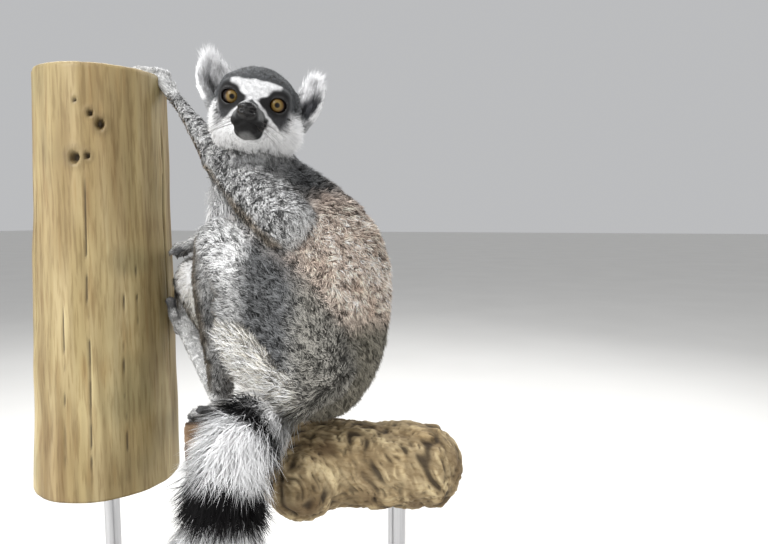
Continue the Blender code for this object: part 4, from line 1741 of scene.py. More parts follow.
@dataclass
class Coat:
    """Grows tufts on a pelt and gathers them into pieces of mesh."""

    body: Body
    pelt: Pelt
    markings: Markings
    random: np.random.Generator = field(default_factory=lambda: np.random.default_rng(11))

    def style(self, value: str) -> Array:
        """One value of how the coat grows, for each guide."""
        return np.array([getattr(COAT.get(guide.name, PAW_HAIR), value) for guide in self.body.guides])

    def pick(self, chosen: Array, count: int) -> Roots:
        """Spreads roots over the faces that belong to the chosen guides.

        Args:
            chosen: whether each guide's faces carry this piece.
            count: how many tufts to grow.

        Returns:
            The roots, with everything known about the skin there.
        """
        pelt, quads = self.pelt, self.pelt.quads
        owner = pelt.guide[quads[:, 0]]
        a, b, c, d = (pelt.points[quads[:, k]] for k in range(4))
        area = 0.5 * np.linalg.norm(np.cross(c - a, d - b), axis=1)
        furry = 1.0 - pelt.bare[quads].max(axis=1)
        total = np.cumsum(area * chosen[owner] * self.style("density")[owner] * np.clip(furry, 0, 1))
        spots = (np.arange(count) + self.random.random(count)) / count * total[-1]
        face = np.minimum(np.searchsorted(total, spots), len(quads) - 1)
        u, v = self.random.random(count), self.random.random(count)
        share = np.stack([(1 - u) * (1 - v), u * (1 - v), u * v, (1 - u) * v], axis=1)
        corner = quads[face]

        def mix(values: Array) -> Array:
            """Values at the roots, from the corners of their faces."""
            held = values[corner]
            return (held * (share[..., None] if held.ndim == 3 else share)).sum(axis=1)

        known = (pelt.points, pelt.normals, pelt.flow, pelt.colour, pelt.run)
        points, normals, flow, colour, run = map(mix, known)
        return Roots(points, unit(normals), flow, colour, owner[face], run, pelt.turn[corner[:, 0]])

    def face_length(self, points: Array) -> Array:
        """Coat length over the head as a share of its full length.

        Args:
            points: one place per row.

        Returns:
            One share per row.
        """
        local = self.body.pose.in_head(points)
        local[:, 1] = np.abs(local[:, 1])
        forward, left, up = local.T
        cheek = step_up(left, 0.012, 0.026) * step_up(up, 0.004, -0.008)
        made = np.where(up > 0.018, 0.75, 0.85) + 0.75 * cheek
        near_eye = np.linalg.norm(local - self.body.pose.eye, axis=1)
        made = made * (0.28 + 0.72 * step_up(near_eye, 0.009, 0.023))
        made = made * (1.0 - 0.76 * step_up(forward, 0.016, 0.03))
        return made * (1.0 - 0.35 * step_up(forward, 0.036, 0.05))

    def ear_length(self, roots: Roots) -> Array:
        """Coat length over the ears as a share of its full length: long white hair up the inner rim.

        Args:
            roots: the tufts' roots.

        Returns:
            One share per root.
        """
        local = self.body.pose.in_head(roots.points)
        inward = -(roots.normals @ self.body.axes[1]) * np.sign(local[:, 1])
        rim = step_up(inward, -0.2, 0.5) * step_up(local[:, 2], 0.006, 0.016)
        return 0.55 + 0.55 * step_up(local[:, 2], 0.01, 0.026) + 1.15 * rim

    def locks(self, points: Array, size: Array) -> Pair:
        """Gathers roots into irregular locks.

        Args:
            points: the tufts' roots.
            size: how wide a lock is at each root.

        Returns:
            The middle of each root's lock, and a repeatable number from -1 to 1 for the lock.
        """
        bent = np.stack([mottle(points, 0.006, seed) for seed in (91, 92, 93)], axis=1)
        cell = np.floor(points / size[:, None] + 0.55 * bent + 900.0).astype(np.int64)
        names, inverse = np.unique(cell_number(cell), return_inverse=True)
        total = np.bincount(inverse, minlength=len(names))
        sums = [np.bincount(inverse, points[:, k], len(names)) for k in range(3)]
        mixed = (names ^ (names >> 13)) * FIRST_PRIME & KEPT_BITS
        chance = (mixed >> 7 & CHANCE_BITS) / HALF_CHANCE - 1.0
        return np.stack(sums, axis=1)[inverse] / total[inverse, None], chance[inverse]

    def unwrap(self, roots: Roots) -> Array:
        """Each root's place on a flat layout of the skin's own shape.

        Args:
            roots: the tufts' roots.

        Returns:
            A place in the unit square for each root, one strip for each guide.
        """
        made = np.zeros((len(roots.points), 2))
        guides, margin = np.unique(roots.guide), 0.004
        for row, number in enumerate(guides):
            mine = roots.guide == number
            if self.body.guides[number].name == "head":
                x, y, z = self.body.pose.in_head(roots.points[mine]).T
                u = np.arctan2(y, x) / (2 * math.pi) + 0.5
                v = np.arctan2(z, np.hypot(x, y)) / math.pi + 0.5
            else:
                u, run = roots.turn[mine] / (2 * math.pi) + 0.5, roots.run[mine]
                v = (run - run.min()) / max(np.ptp(run), 1e-6)
            low, high = row / len(guides), (row + 1) / len(guides)
            made[mine, 0] = margin + u * (1 - 2 * margin)
            made[mine, 1] = low + margin + v * (high - low - 2 * margin)
        return made

    def grow(self, name: str, chosen: Array, count: int) -> Piece:
        """Makes one piece of coat from curved tapering blades.

        Args:
            name: the piece's name.
            chosen: whether each guide's faces carry this piece.
            count: how many tufts to grow.

        Returns:
            The mesh of all its tufts.
        """
        roots = self.pick(chosen, count)
        points, normal = roots.points, roots.normals

        def each(value: str) -> Array:
            """One value of the coat's style at each root."""
            return self.style(value)[roots.guide]

        def wild() -> Array:
            """A new random number for each root."""
            return self.random.standard_normal(count)

        clump, curl = each("clump"), each("curl")
        names = np.array([guide.name for guide in self.body.guides])[roots.guide]
        fringe = self.markings.fringe(points) * (names == "thigh")
        chest = step_up(-normal[:, 0], 0.25, 0.7) * (names == "trunk")
        chest = np.maximum(chest, self.markings.breast(points))
        length = each("length") * np.where(names == "head", self.face_length(points), 1.0)
        length = length * np.where(names == "ear", self.ear_length(roots), 1.0)
        length = length * (1.0 + 1.5 * fringe + 1.3 * chest)
        flat = 1.0 - 0.45 * np.maximum(fringe, chest)
        home, chance = self.locks(points, clump)
        sway, tide = np.zeros((2, count))
        for size in np.unique(clump):
            rows = clump == size
            sway[rows] = mottle(points[rows], size * 1.8, 31)
            tide[rows] = mottle(points[rows], size * 1.5, 37)
        length *= 1.0 + 0.18 * tide + 0.12 * chance + 0.14 * wild().clip(-1.6, 1.6)
        heading = (0.34 * sway + 0.45 * chance + 0.22 * wild()) * (0.6 + 1.6 * curl)
        flow = unit(flatten(roots.flow, normal))
        beside = np.cross(normal, flow)
        flow, beside = turned(flow, beside, heading), turned(beside, -flow, heading)
        stand = np.radians(each("lean") * flat + 7.0 * tide + 6.0 * chance + 7.0 * wild())
        rest = np.radians(each("lift") * flat + 6.0 * sway + 6.0 * wild())
        first, second = turned(flow, normal, stand), turned(flow, normal, rest)
        second[:, 2] -= each("droop") + 0.3 * fringe
        bend = beside * (curl * wild())[:, None]
        first, second = unit(first - bend * 0.5), unit(second + bend)
        across = turned(beside, normal, self.random.uniform(-0.7, 0.7, count))
        wide = each("width") * self.random.uniform(0.75, 1.25, count)
        half = unit(flatten(across, first)) * (wide * 0.5)[:, None]
        root = points - normal * 0.0005
        draw = (home - points) * (each("wool") * (1.0 - 0.6 * fringe))[:, None]
        middle = root + first * (length * 0.5)[:, None] + draw * 0.35
        tip = middle + second * (length * 0.5)[:, None] + draw * 0.65
        waist = half * 0.85
        blade = np.stack([root - half, root + half, middle - waist, middle + waist, tip], axis=1)
        faces = copies(np.array([[0, 3, 1], [0, 2, 3], [2, 4, 3]]), count, 5)
        made = mesh_object(name, blade.reshape(-1, 3), faces)
        self.tint(made, roots, each("speckle"), chance)
        patch = np.array([[-1, -1], [1, -1], [-1, 0], [1, 0], [0, 1]]) * 0.0015
        spread = (self.unwrap(roots)[:, None, :] + patch).reshape(-1, 2)
        layer = made.data.uv_layers.new(name="OFBake")
        layer.data.foreach_set("uv", spread[faces.ravel()].astype(np.float32).ravel())
        soft = np.repeat(unit(normal + 0.35 * second), 5, axis=0)
        made.data.normals_split_custom_set_from_vertices(soft.astype(np.float32))
        return made

    def tint(self, made: Piece, roots: Roots, speckle: Array, chance: Array) -> None:
        """Stores the tufts' colours: dusky roots and broken light and dark tips.

        Args:
            made: the piece to colour.
            roots: the tufts' roots.
            speckle: how strongly each tuft varies.
            chance: one random number per tuft.
        """
        count = len(roots.points)
        rng = self.random
        light = roots.colour.mean(axis=1) ** 0.45
        speckle = speckle * (1.0 - 0.86 * step_up(light, 0.82, 0.93))
        fleck = 1.5 * mottle(roots.points, 0.0017, 41) + 0.5 * mottle(roots.points, 0.006, 42)
        fleck = 1.0 + speckle * (fleck + 0.55 * chance + 0.55 * rng.standard_normal(count))
        ends = 1.0 + speckle * rng.choice([-0.8, 0.8], count)
        base = (0.34 + 0.4 * step_up(light, 0.82, 0.95)) * fleck
        value = np.stack([base, base, fleck, fleck, fleck * ends], axis=1)
        colour = roots.colour[:, None, :] * np.clip(value, 0.14, 1.9)[..., None]
        paint(made, "Coat", np.clip(colour, 0.002, 0.9).reshape(-1, 3))


# --- finishes


Socket = bpy.types.NodeSocket
Stops = Sequence[tuple[float, Colour]]


class Wires:
    """A small helper that adds and joins the nodes of one material."""

    def __init__(self, name: str) -> None:
        """Starts an empty material with its output and shader.

        Args:
            name: the material's name.
        """
        self.material = bpy.data.materials.new(name)
        self.material.use_nodes = True
        self.tree = self.material.node_tree
        self.tree.nodes.clear()
        self.shader = self.add("ShaderNodeBsdfPrincipled")
        output = self.add("ShaderNodeOutputMaterial")
        self.tree.links.new(self.shader.outputs["BSDF"], output.inputs["Surface"])

    def add(self, kind: str, **settings: object) -> bpy.types.Node:
        """Adds a node and sets its plain properties.

        Args:
            kind: the node's type.
            settings: its plain properties.

        Returns:
            The new node.
        """
        node = self.tree.nodes.new(kind)
        for key, value in settings.items():
            setattr(node, key, value)
        return node

    def into(self, node: bpy.types.Node, **sockets: object) -> bpy.types.Node:
        """Feeds a node's sockets with numbers or other sockets; underscores stand for spaces.

        Args:
            node: the node to feed.
            sockets: a number or socket for each name.

        Returns:
            The same node.
        """
        for key, value in sockets.items():
            socket = node.inputs[key.replace("_", " ")]
            if isinstance(value, Socket):
                self.tree.links.new(value, socket)
            else:
                socket.default_value = value
        return node

    def shade(self, **sockets: object) -> None:
        """Feeds the shader's own sockets."""
        self.into(self.shader, **sockets)

    def tint(self, layer: str) -> Socket:
        """The mesh's own colours."""
        return self.add("ShaderNodeVertexColor", layer_name=layer).outputs["Color"]

    def stored(self, name: str, out: str = "Fac") -> Socket:
        """A value stored on the mesh."""
        return self.add("ShaderNodeAttribute", attribute_name=name).outputs[out]

    def place(self) -> Socket:
        """The object's own coordinates."""
        return self.add("ShaderNodeTexCoord").outputs["Object"]

    def noise(self, scale: float, detail: float = 4.0, stretch: Place = (1, 1, 1)) -> Socket:
        """Noise in the object's own coordinates, stretched by axis.

        Args:
            scale: how fine the noise is.
            detail: how many finer layers it has.
            stretch: its scale by axis.

        Returns:
            The noise as a number.
        """
        mapping = self.into(self.add("ShaderNodeMapping"), Scale=stretch, Vector=self.place())
        noise = self.add("ShaderNodeTexNoise")
        self.into(noise, Scale=scale, Detail=detail, Vector=mapping.outputs["Vector"])
        return noise.outputs["Fac"]

    def ramp(self, source: Socket, stops: Stops) -> Socket:
        """A colour read from a ramp.

        Args:
            source: the number to look up.
            stops: place and colour of each stop.

        Returns:
            The colour.
        """
        ramp = self.into(self.add("ShaderNodeValToRGB"), Fac=source)
        items = ramp.color_ramp.elements
        while len(items) < len(stops):
            items.new(0.5)
        for item, (place, colour) in zip(items, stops):
            item.position, item.color = place, (*colour, 1.0)
        return ramp.outputs["Color"]

    def mix(self, kind: str, amount: float | Socket, first: Socket, second: Socket) -> Socket:
        """A colour mix of two sources.

        Args:
            kind: the blend mode.
            amount: the share of the second colour.
            first: the colour below.
            second: the colour above.

        Returns:
            The mixed colour.
        """
        mix = self.add("ShaderNodeMix", data_type="RGBA", blend_type=kind)
        for number, value in ((0, amount), (6, first), (7, second)):
            if isinstance(value, Socket):
                self.tree.links.new(value, mix.inputs[number])
            else:
                mix.inputs[number].default_value = value
        return mix.outputs[2]

    def grain(self, amount: float, under: Socket, over: Socket, stops: Stops) -> Socket:
        """A colour multiplied by a ramp over a height."""
        return self.mix("MULTIPLY", amount, under, self.ramp(over, stops))

    def rough(self, source: Socket, low: float, high: float) -> None:
        """Roughness that runs from low to high with a source."""
        scaled = self.into(self.add("ShaderNodeMapRange"), To_Min=low, To_Max=high, Value=source)
        self.shade(Roughness=scaled.outputs["Result"])

    def bump(self, source: Socket, distance: float, strength: float = 1.0) -> None:
        """Adds a bump to the shader from a height.

        Args:
            source: the height.
            distance: the height of a full step.
            strength: the bump's share.
        """
        bump = self.add("ShaderNodeBump")
        self.into(bump, Distance=distance, Strength=strength, Height=source)
        self.shade(Normal=bump.outputs["Normal"])


@dataclass(frozen=True)
class Finish:
    """A material of its own name, wired by each kind of finish."""

    name: str = "finish"

    def make(self) -> bpy.types.Material:
        """Builds the material.

        Returns:
            The wired material.
        """
        wires = Wires(self.name)
        self.wire(wires)
        return wires.material

    def wire(self, wires: Wires) -> None:
        """Adds what makes this finish."""
        raise NotImplementedError


@dataclass(frozen=True)
class FurFinish(Finish):
    """Soft hair, tinted by the tufts' own colours."""

    name: str = "coat_hair"
    rough: float = 0.62
    sheen: float = 0.02

    def wire(self, wires: Wires) -> None:
        """Wires the material.

        Args:
            wires: the material to add nodes to.
        """
        stops = [(0.3, (0.86, 0.86, 0.86)), (0.7, (1.0, 1.0, 1.0))]
        wires.shade(Base_Color=wires.grain(1.0, wires.tint("Coat"), wires.noise(900.0, 2.0), stops))
        wires.shade(Roughness=self.rough, Specular_IOR_Level=0.08)
        wires.shade(Sheen_Weight=self.sheen, Sheen_Roughness=0.45)


@dataclass(frozen=True)
class SkinFinish(Finish):
    """Skin under the coat, with bare leather on nose, lids and palms."""

    name: str = "skin_and_undercoat"
    leather: Colour = tone(15, 13, 14)

    def wire(self, wires: Wires) -> None:
        """Wires the material.

        Args:
            wires: the material to add nodes to.
        """
        stops = [(0.3, (0.55, 0.55, 0.55)), (0.72, (1.0, 1.0, 1.0))]
        coat = wires.grain(1.0, wires.tint("Coat"), wires.noise(420.0, 3.0), stops)
        voronoi = wires.add("ShaderNodeTexVoronoi", feature="SMOOTH_F1")
        pores = wires.into(voronoi, Scale=1100.0, Vector=wires.place()).outputs["Distance"]
        dark = tuple(c * 0.55 for c in self.leather)
        leather = wires.ramp(pores, [(0.1, dark), (0.65, self.leather)])
        bare = wires.stored("bare")
        wires.shade(Base_Color=wires.mix("MIX", bare, coat, leather), Specular_IOR_Level=0.35)
        wires.rough(bare, 0.85, 0.3)
        wires.bump(pores, 0.0003, 0.6)


@dataclass(frozen=True)
class EyeFinish(Finish):
    """A wet amber eye with a small round pupil, read from its distance to the axis."""

    name: str = "amber_iris"
    pupil: float = 0.16
    iris: float = 0.54

    def wire(self, wires: Wires) -> None:
        """Wires the material.

        Args:
            wires: the material to add nodes to.
        """
        pupil, iris = self.pupil, self.iris
        stops = [
            (0.0, tone(6, 5, 5)), (pupil - 0.02, tone(6, 5, 5)), (pupil + 0.02, tone(70, 52, 22)),
            (pupil + 0.08, tone(118, 101, 58)), (iris - 0.13, tone(98, 76, 38)),
            (iris - 0.04, tone(58, 40, 18)), (iris, tone(24, 15, 10)), (iris + 0.06, tone(20, 15, 13)),
            (1.0, tone(30, 22, 20)),
        ]
        zones = wires.ramp(wires.stored("iris"), stops)
        streak = wires.add("ShaderNodeTexNoise")
        wires.into(streak, Scale=26.0, Detail=3.0, Vector=wires.stored("rays", "Vector"))
        lines = [(0.25, (0.6, 0.52, 0.45)), (0.7, (1.1, 1.1, 1.1))]
        wires.shade(Base_Color=wires.grain(0.8, zones, streak.outputs["Fac"], lines))
        wires.shade(Roughness=0.45, Specular_IOR_Level=0.1)
        wires.shade(Coat_Weight=0.35, Coat_Roughness=0.02, Coat_IOR=1.38)


@dataclass(frozen=True)
class ClawFinish(Finish):
    """Dark horn, paler at the tip."""

    name: str = "claw_horn"

    def wire(self, wires: Wires) -> None:
        """Wires the material.

        Args:
            wires: the material to add nodes to.
        """
        noise = wires.noise(900.0, 3.0, (1.0, 1.0, 0.25))
        wires.shade(Base_Color=wires.ramp(noise, [(0.3, tone(34, 28, 26)), (0.75, tone(84, 72, 64))]))
        wires.bump(noise, 0.0002)
        wires.shade(Roughness=0.34, Coat_Weight=0.15, Coat_Roughness=0.2)


@dataclass(frozen=True)
class WoodFinish(Finish):
    """Wood tinted by the mesh's own colours, with fine fibre on top."""

    stretch: Place = (1.0, 1.0, 1.0)
    rough: float = 0.5
    relief: float = 0.001

    def wire(self, wires: Wires) -> None:
        """Wires the material.

        Args:
            wires: the material to add nodes to.
        """
        white = (1.0, 1.0, 1.0)
        colour, fibre = wires.tint("Wood"), wires.noise(60.0, 9.0, self.stretch)
        for amount, source, stops in (
            (1.0, fibre, [(0.34, (0.66, 0.6, 0.53)), (0.6, (1.06, 1.05, 1.03))]),
            (0.8, wires.noise(420.0, 5.0, self.stretch), [(0.38, (0.72, 0.67, 0.6)), (0.52, white)]),
            (0.8, wires.noise(9.0, 5.0), [(0.35, (0.84, 0.82, 0.8)), (0.65, white)]),
        ):
            colour = wires.grain(amount, colour, source, stops)
        wires.shade(Base_Color=colour, Specular_IOR_Level=0.35)
        wires.rough(fibre, self.rough + 0.12, self.rough - 0.08)
        wires.bump(fibre, self.relief, 0.8)


@dataclass(frozen=True)
class MetalFinish(Finish):
    """Brushed steel or satin paint for the stand."""

    low: Colour = tone(34, 34, 36)
    high: Colour = tone(44, 44, 46)
    metallic: float = 0.0
    rough: float = 0.42
    scale: float = 500.0
    stretch: Place = (1.0, 1.0, 1.0)
    relief: float = 0.0002

    def wire(self, wires: Wires) -> None:
        """Wires the material.

        Args:
            wires: the material to add nodes to.
        """
        noise = wires.noise(self.scale, 5.0, self.stretch)
        wires.shade(Base_Color=wires.ramp(noise, [(0.3, self.low), (0.7, self.high)]))
        wires.shade(Metallic=self.metallic)
        wires.rough(noise, self.rough - 0.06, self.rough + 0.08)
        wires.bump(noise, self.relief, 0.5)


@dataclass(frozen=True)
class FloorFinish(Finish):
    """A plain pale floor."""

    name: str = "pale_floor"

    def wire(self, wires: Wires) -> None:
        """Wires the material."""
        stops = [(0.2, tone(222, 221, 218)), (0.8, tone(228, 227, 224))]
        wires.shade(Base_Color=wires.ramp(wires.noise(2.0, 2.0), stops), Roughness=0.8)


# --- eyes, claws and whiskers


@dataclass
class Eye:
    """An eyeball with a domed cornea, set deep behind the lids."""

    body: Body
    side: Side
    finish: bpy.types.Material
    radius: float = 0.0081
    dome: float = 0.0012
    rings: int = 40
    sides: int = 64

    def build(self) -> None:
        """Builds the eyeball with its iris zones stored by ring."""
        body, side = self.body, self.side
        centre = body.pose.head_point(*body.eye_place(side.way))
        gaze = body.gaze(side.way)
        left = unit(np.cross(body.axes[2], gaze))
        turns = circle(self.sides)
        spokes = turns @ np.array([left, np.cross(gaze, left)])
        points, zone, rays = [], [], []
        for ring in range(self.rings + 1):
            angle = math.pi * ring / self.rings
            reach = self.radius + self.dome * max(0.0, 1.0 - (angle / 0.8) ** 2) ** 1.5
            points.append(centre + reach * (gaze * math.cos(angle) + spokes * math.sin(angle)))
            zone += [math.sin(min(angle, math.pi / 2))] * self.sides
            rays.append(np.column_stack([turns, np.full(self.sides, 0.12 * angle)]))
        inward_faces = ring_faces(self.rings + 1, self.sides)[:, [0, 3, 2, 1]]
        made = mesh_object(f"eyeball_{side.value}", np.vstack(points), inward_faces)
        weigh(made, "iris", np.array(zone))
        layer = made.data.attributes.new("rays", "FLOAT_VECTOR", "POINT")
        layer.data.foreach_set("vector", np.vstack(rays).astype(np.float32).ravel())
        bm = bmesh.new()
        bm.from_mesh(made.data)
        bmesh.ops.remove_doubles(bm, verts=bm.verts, dist=1e-6)
        bmesh.ops.recalc_face_normals(bm, faces=bm.faces)
        bm.to_mesh(made.data)
        bm.free()
        dress(made, self.finish, "amber_eye", f"eye_{side.value}")


@dataclass
class Claws:
    """Small curved nails at the tips of fingers and toes."""

    body: Body
    finish: bpy.types.Material
    length: float = 0.0052
    thick: float = 0.0014
    sides: int = 8

    def build(self) -> None:
        """Builds all nails in one mesh."""
        points, profile = [], ((0.0, 1.0), (0.35, 0.92), (0.7, 0.62), (1.0, 0.1))
        tips = [tip for paw in self.body.tips.values() for tip in paw]
        for middle, tip, side in tips:
            ahead = unit(tip - middle)
            top = np.cross(side, ahead)
            if np.dot(top, tip - self.press(tip)) < 0:
                top = -top
            base = tip + top * 0.0016 - ahead * 0.0004
            spokes = circle(self.sides) * (1.0, 0.6) @ np.array([unit(side), top])
            for share, size in profile:
                place = base + (ahead * share - top * 0.42 * share**2) * self.length
                points.append(place + spokes * (self.thick * size))
        rings = len(profile)
        faces = copies(ring_faces(rings, self.sides), len(tips), rings * self.sides)
        dress(mesh_object("claws", np.vstack(points), faces), self.finish, "dark_skin")

    def press(self, tip: Array) -> Array:
        """The middle of whatever the tip presses on.

        Args:
            tip: the place of a digit's tip.

        Returns:
            A place.
        """
        pose = self.body.pose
        local = tip - np.array(pose.pelvis)
        if local[0] > -0.16 and local[2] < 0.0:
            return pose.at(pose.branch_middle(local[0]))
        if local[2] > pose.post_top - 0.02:
            return tip - np.array([0.0, 0.0, 1.0])
        if local[2] > 0.045:
            return pose.at(pose.right.knee)
        return pose.at(pose.post_middle(local[2]))


@dataclass
class Whiskers:
    """Fine dark whiskers on the muzzle and brows."""

    body: Body
    finish: bpy.types.Material
    thick: float = 0.00011
    rings: int = 5
    sides: int = 3

    def build(self) -> None:
        """Builds all whiskers in one mesh of slim three-sided hairs."""
        rng, hairs = np.random.default_rng(5), []
        for way in (1, -1):
            for i in range(11):
                row, step = divmod(i, 4)
                place = (0.0445 - 0.0032 * step, way * (0.0074 + 0.0011 * step), -0.012 - 0.0024 * row)
                aim = np.array([0.3 - 0.16 * step, way * 1.0, -0.34 - 0.1 * row]) @ self.body.axes
                hairs.append(self.hair(place, unit(aim + 0.1 * rng.standard_normal(3)), 0.02))
            for i in range(3):
                place = (0.0225, way * (0.008 + 0.003 * i), 0.0165)
                aim = np.array([0.5, way * (0.3 + 0.3 * i), 1.0]) @ self.body.axes
                hairs.append(self.hair(place, unit(aim + 0.08 * rng.standard_normal(3)), 0.012))
        faces = copies(ring_faces(self.rings, self.sides), len(hairs), self.rings * self.sides)
        dress(mesh_object("whiskers", np.vstack(hairs), faces), self.finish, "dark_skin")

    def hair(self, place: Place, aim: Array, length: float) -> Array:
        """The rings of one curved hair that droops towards its tip.

        Args:
            place: the root, measured in the head.
            aim: the direction it grows in.
            length: the hair's length.

        Returns:
            One place per row, ring by ring.
        """
        side = unit(np.cross(aim, (0.0, 0.0, 1.0)))
        root = self.body.pose.head_point(*place)
        spokes = circle(self.sides) @ np.array([side, np.cross(side, aim)])
        rings = []
        for share in np.linspace(0.0, 1.0, self.rings):
            middle = root + length * (aim * share + np.array([0, 0, -0.18]) * share**2)
            rings.append(middle + spokes * (self.thick * (1.05 - share)))
        return np.vstack(rings)


# --- perch and stand


@dataclass(frozen=True)
class Knot:
    """A knot or old bolt hole in the post, turn in degrees and height from the pelvis."""

    turn: float
    height: float
    size: float
    deep: float


@dataclass
class Post:
    """The peeled post the lemur leans on: grain, cracks, knots and an eased top."""

    pose: Pose
    finish: bpy.types.Material
    sides: int = 300
    rows: int = 170
    ease: float = 0.004
    knots: tuple[Knot, ...] = (
        Knot(-58.4, 0.2019, 0.0026, 0.005), Knot(-50.8, 0.1934, 0.0042, 0.007),
        Knot(-71.1, 0.1657, 0.0046, 0.007), Knot(-61.1, 0.1671, 0.0026, 0.005),
        Knot(-69.9, 0.2119, 0.0018, 0.003), Knot(150, 0.12, 0.006, 0.004), Knot(80, 0.02, 0.0052, 0.004),
    )
    top_rings: tuple[tuple[float, float], ...] = (
        (0.985, 0.55), (0.955, 0.85), (0.9, 1.0), (0.75, 1.02), (0.5, 1.04), (0.25, 1.05), (0.02, 1.05),
    )
    cracks: tuple[tuple[float, float, float, float], ...] = (
        (-64, 0.162, -0.125, 0.00042), (-36, 0.09, -0.12, 0.00034), (-26, 0.13, -0.04, 0.0003),
        (-82, 0.05, -0.1, 0.00034), (10, 0.2, -0.03, 0.0009), (60, 0.242, 0.06, 0.0012),
        (105, 0.18, -0.09, 0.001), (150, 0.236, 0.03, 0.0013), (-150, 0.22, -0.06, 0.0012),
        (-120, 0.15, 0.01, 0.0009),
    )

    def build(self) -> None:
        """Builds the post with its relief and colours."""
        pose, sides = self.pose, self.sides
        heights = np.linspace(pose.post_bottom, pose.post_top - self.ease, self.rows)
        out = np.tile(np.column_stack([circle(sides), np.zeros(sides)]), (self.rows, 1))
        middles = np.repeat([pose.at(pose.post_middle(height)) for height in heights], sides, axis=0)
        radii = np.repeat([pose.post_radius(height) for height in heights], sides)
        points = middles + out * radii[:, None]
        turn = np.tile(np.arange(sides) * 2 * math.pi / sides, self.rows)
        relief, dark = self.relief(points, turn, np.repeat(heights, sides))
        rings = [points + out * relief[:, None]]
        top = pose.at(pose.post_middle(pose.post_top))
        edge = rings[0][-sides:] - top
        for share, rise in self.top_rings:
            ring = edge * (share, share, 1.0)
            ring[:, 2] = -self.ease + self.ease * rise
            ring[:, 2] += 0.0006 * mottle(ring + top, 0.004, 51) * min(1.0, (1 - share) * 8)
            rings.append(ring + top)
        whole = np.vstack(rings)
        made = mesh_object("post_wood", whole, ring_faces(len(whole) // sides, sides))
        close_ends(made, len(whole) // sides, sides)
        paint(made, "Wood", self.tints(whole, np.pad(dark, (0, len(whole) - len(dark)))))
        dress(made, self.finish, "peeled_pine", "perch_post")

    def relief(self, points: Array, turn: Array, high: Array) -> Pair:
        """Height of the surface above the plain post, and how dark each spot is.

        Args:
            points: one place per row.
            turn: each place's angle round the post.
            high: each place's height from the pelvis.

        Returns:
            One height and one share of dark per row.
        """
        squeezed = points * (1.0, 1.0, 0.12)
        fibre = mottle(squeezed, 0.0035, 61) * 0.00022 + mottle(squeezed, 0.01, 62) * 0.0006
        made = fibre + mottle(points, 0.045, 63) * 0.0012 - 0.0008
        dark = 0.12 * step_up(mottle(squeezed, 0.004, 64), 0.1, 0.9)
        for centre, start, end, wide in self.cracks:
            level = np.stack([high, high * 0, high * 0], axis=1)
            wander = 0.03 * mottle(level, 0.08, int(centre) + 400)
            wander += 0.005 * mottle(level, 0.009, int(centre) + 401)
            gap = (turn - math.radians(centre) - wander + math.pi) % (2 * math.pi) - math.pi
            along = step_up(high, end - 0.004, end + 0.03) * step_up(high, start + 0.002, start - 0.02)
            line = step_up(np.abs(gap) * 0.057, wide * 1.3, wide * 0.2) * along
            made = made - 3.2 * wide * line
            dark = np.maximum(dark, line)
        for knot in self.knots:
            gap = (turn - math.radians(knot.turn) + math.pi) % (2 * math.pi) - math.pi
            gap = np.hypot(gap * 0.056, (high - knot.height) * 0.85)
            hole = step_up(gap, knot.size, knot.size * 0.55)
            swell = step_up(gap, knot.size * 2.6, knot.size * 1.2)
            made = made + 0.0006 * swell - knot.deep * hole
            dark = np.maximum(dark, np.maximum(hole, 0.25 * swell))
        return made, dark

    def tints(self, points: Array, dark: Array) -> Array:
        """Straw-coloured wood with olive weathering, worn pale in places and dark in its cracks.

        Args:
            points: one place per row.
            dark: how dark each place is.

        Returns:
            One colour per row.
        """
        squeezed = points * (1.0, 1.0, 0.1)
        made = plain(tone(160, 144, 103), len(points))
        made = mark(made, tone(183, 168, 128), mottle(squeezed, 0.01, 71), -0.2, 0.8)
        made = mark(made, tone(143, 117, 73), mottle(squeezed, 0.003, 72), 0.1, 0.9, 0.5)
        made = mark(made, tone(126, 119, 86), mottle(points, 0.03, 73), 0.0, 0.9, 0.5)
        made = mark(made, tone(136, 110, 68), mottle(points, 0.06, 74), 0.1, 0.9, 0.4)
        return blend(made, tone(44, 32, 20), np.clip(dark, 0, 1) * 0.88)


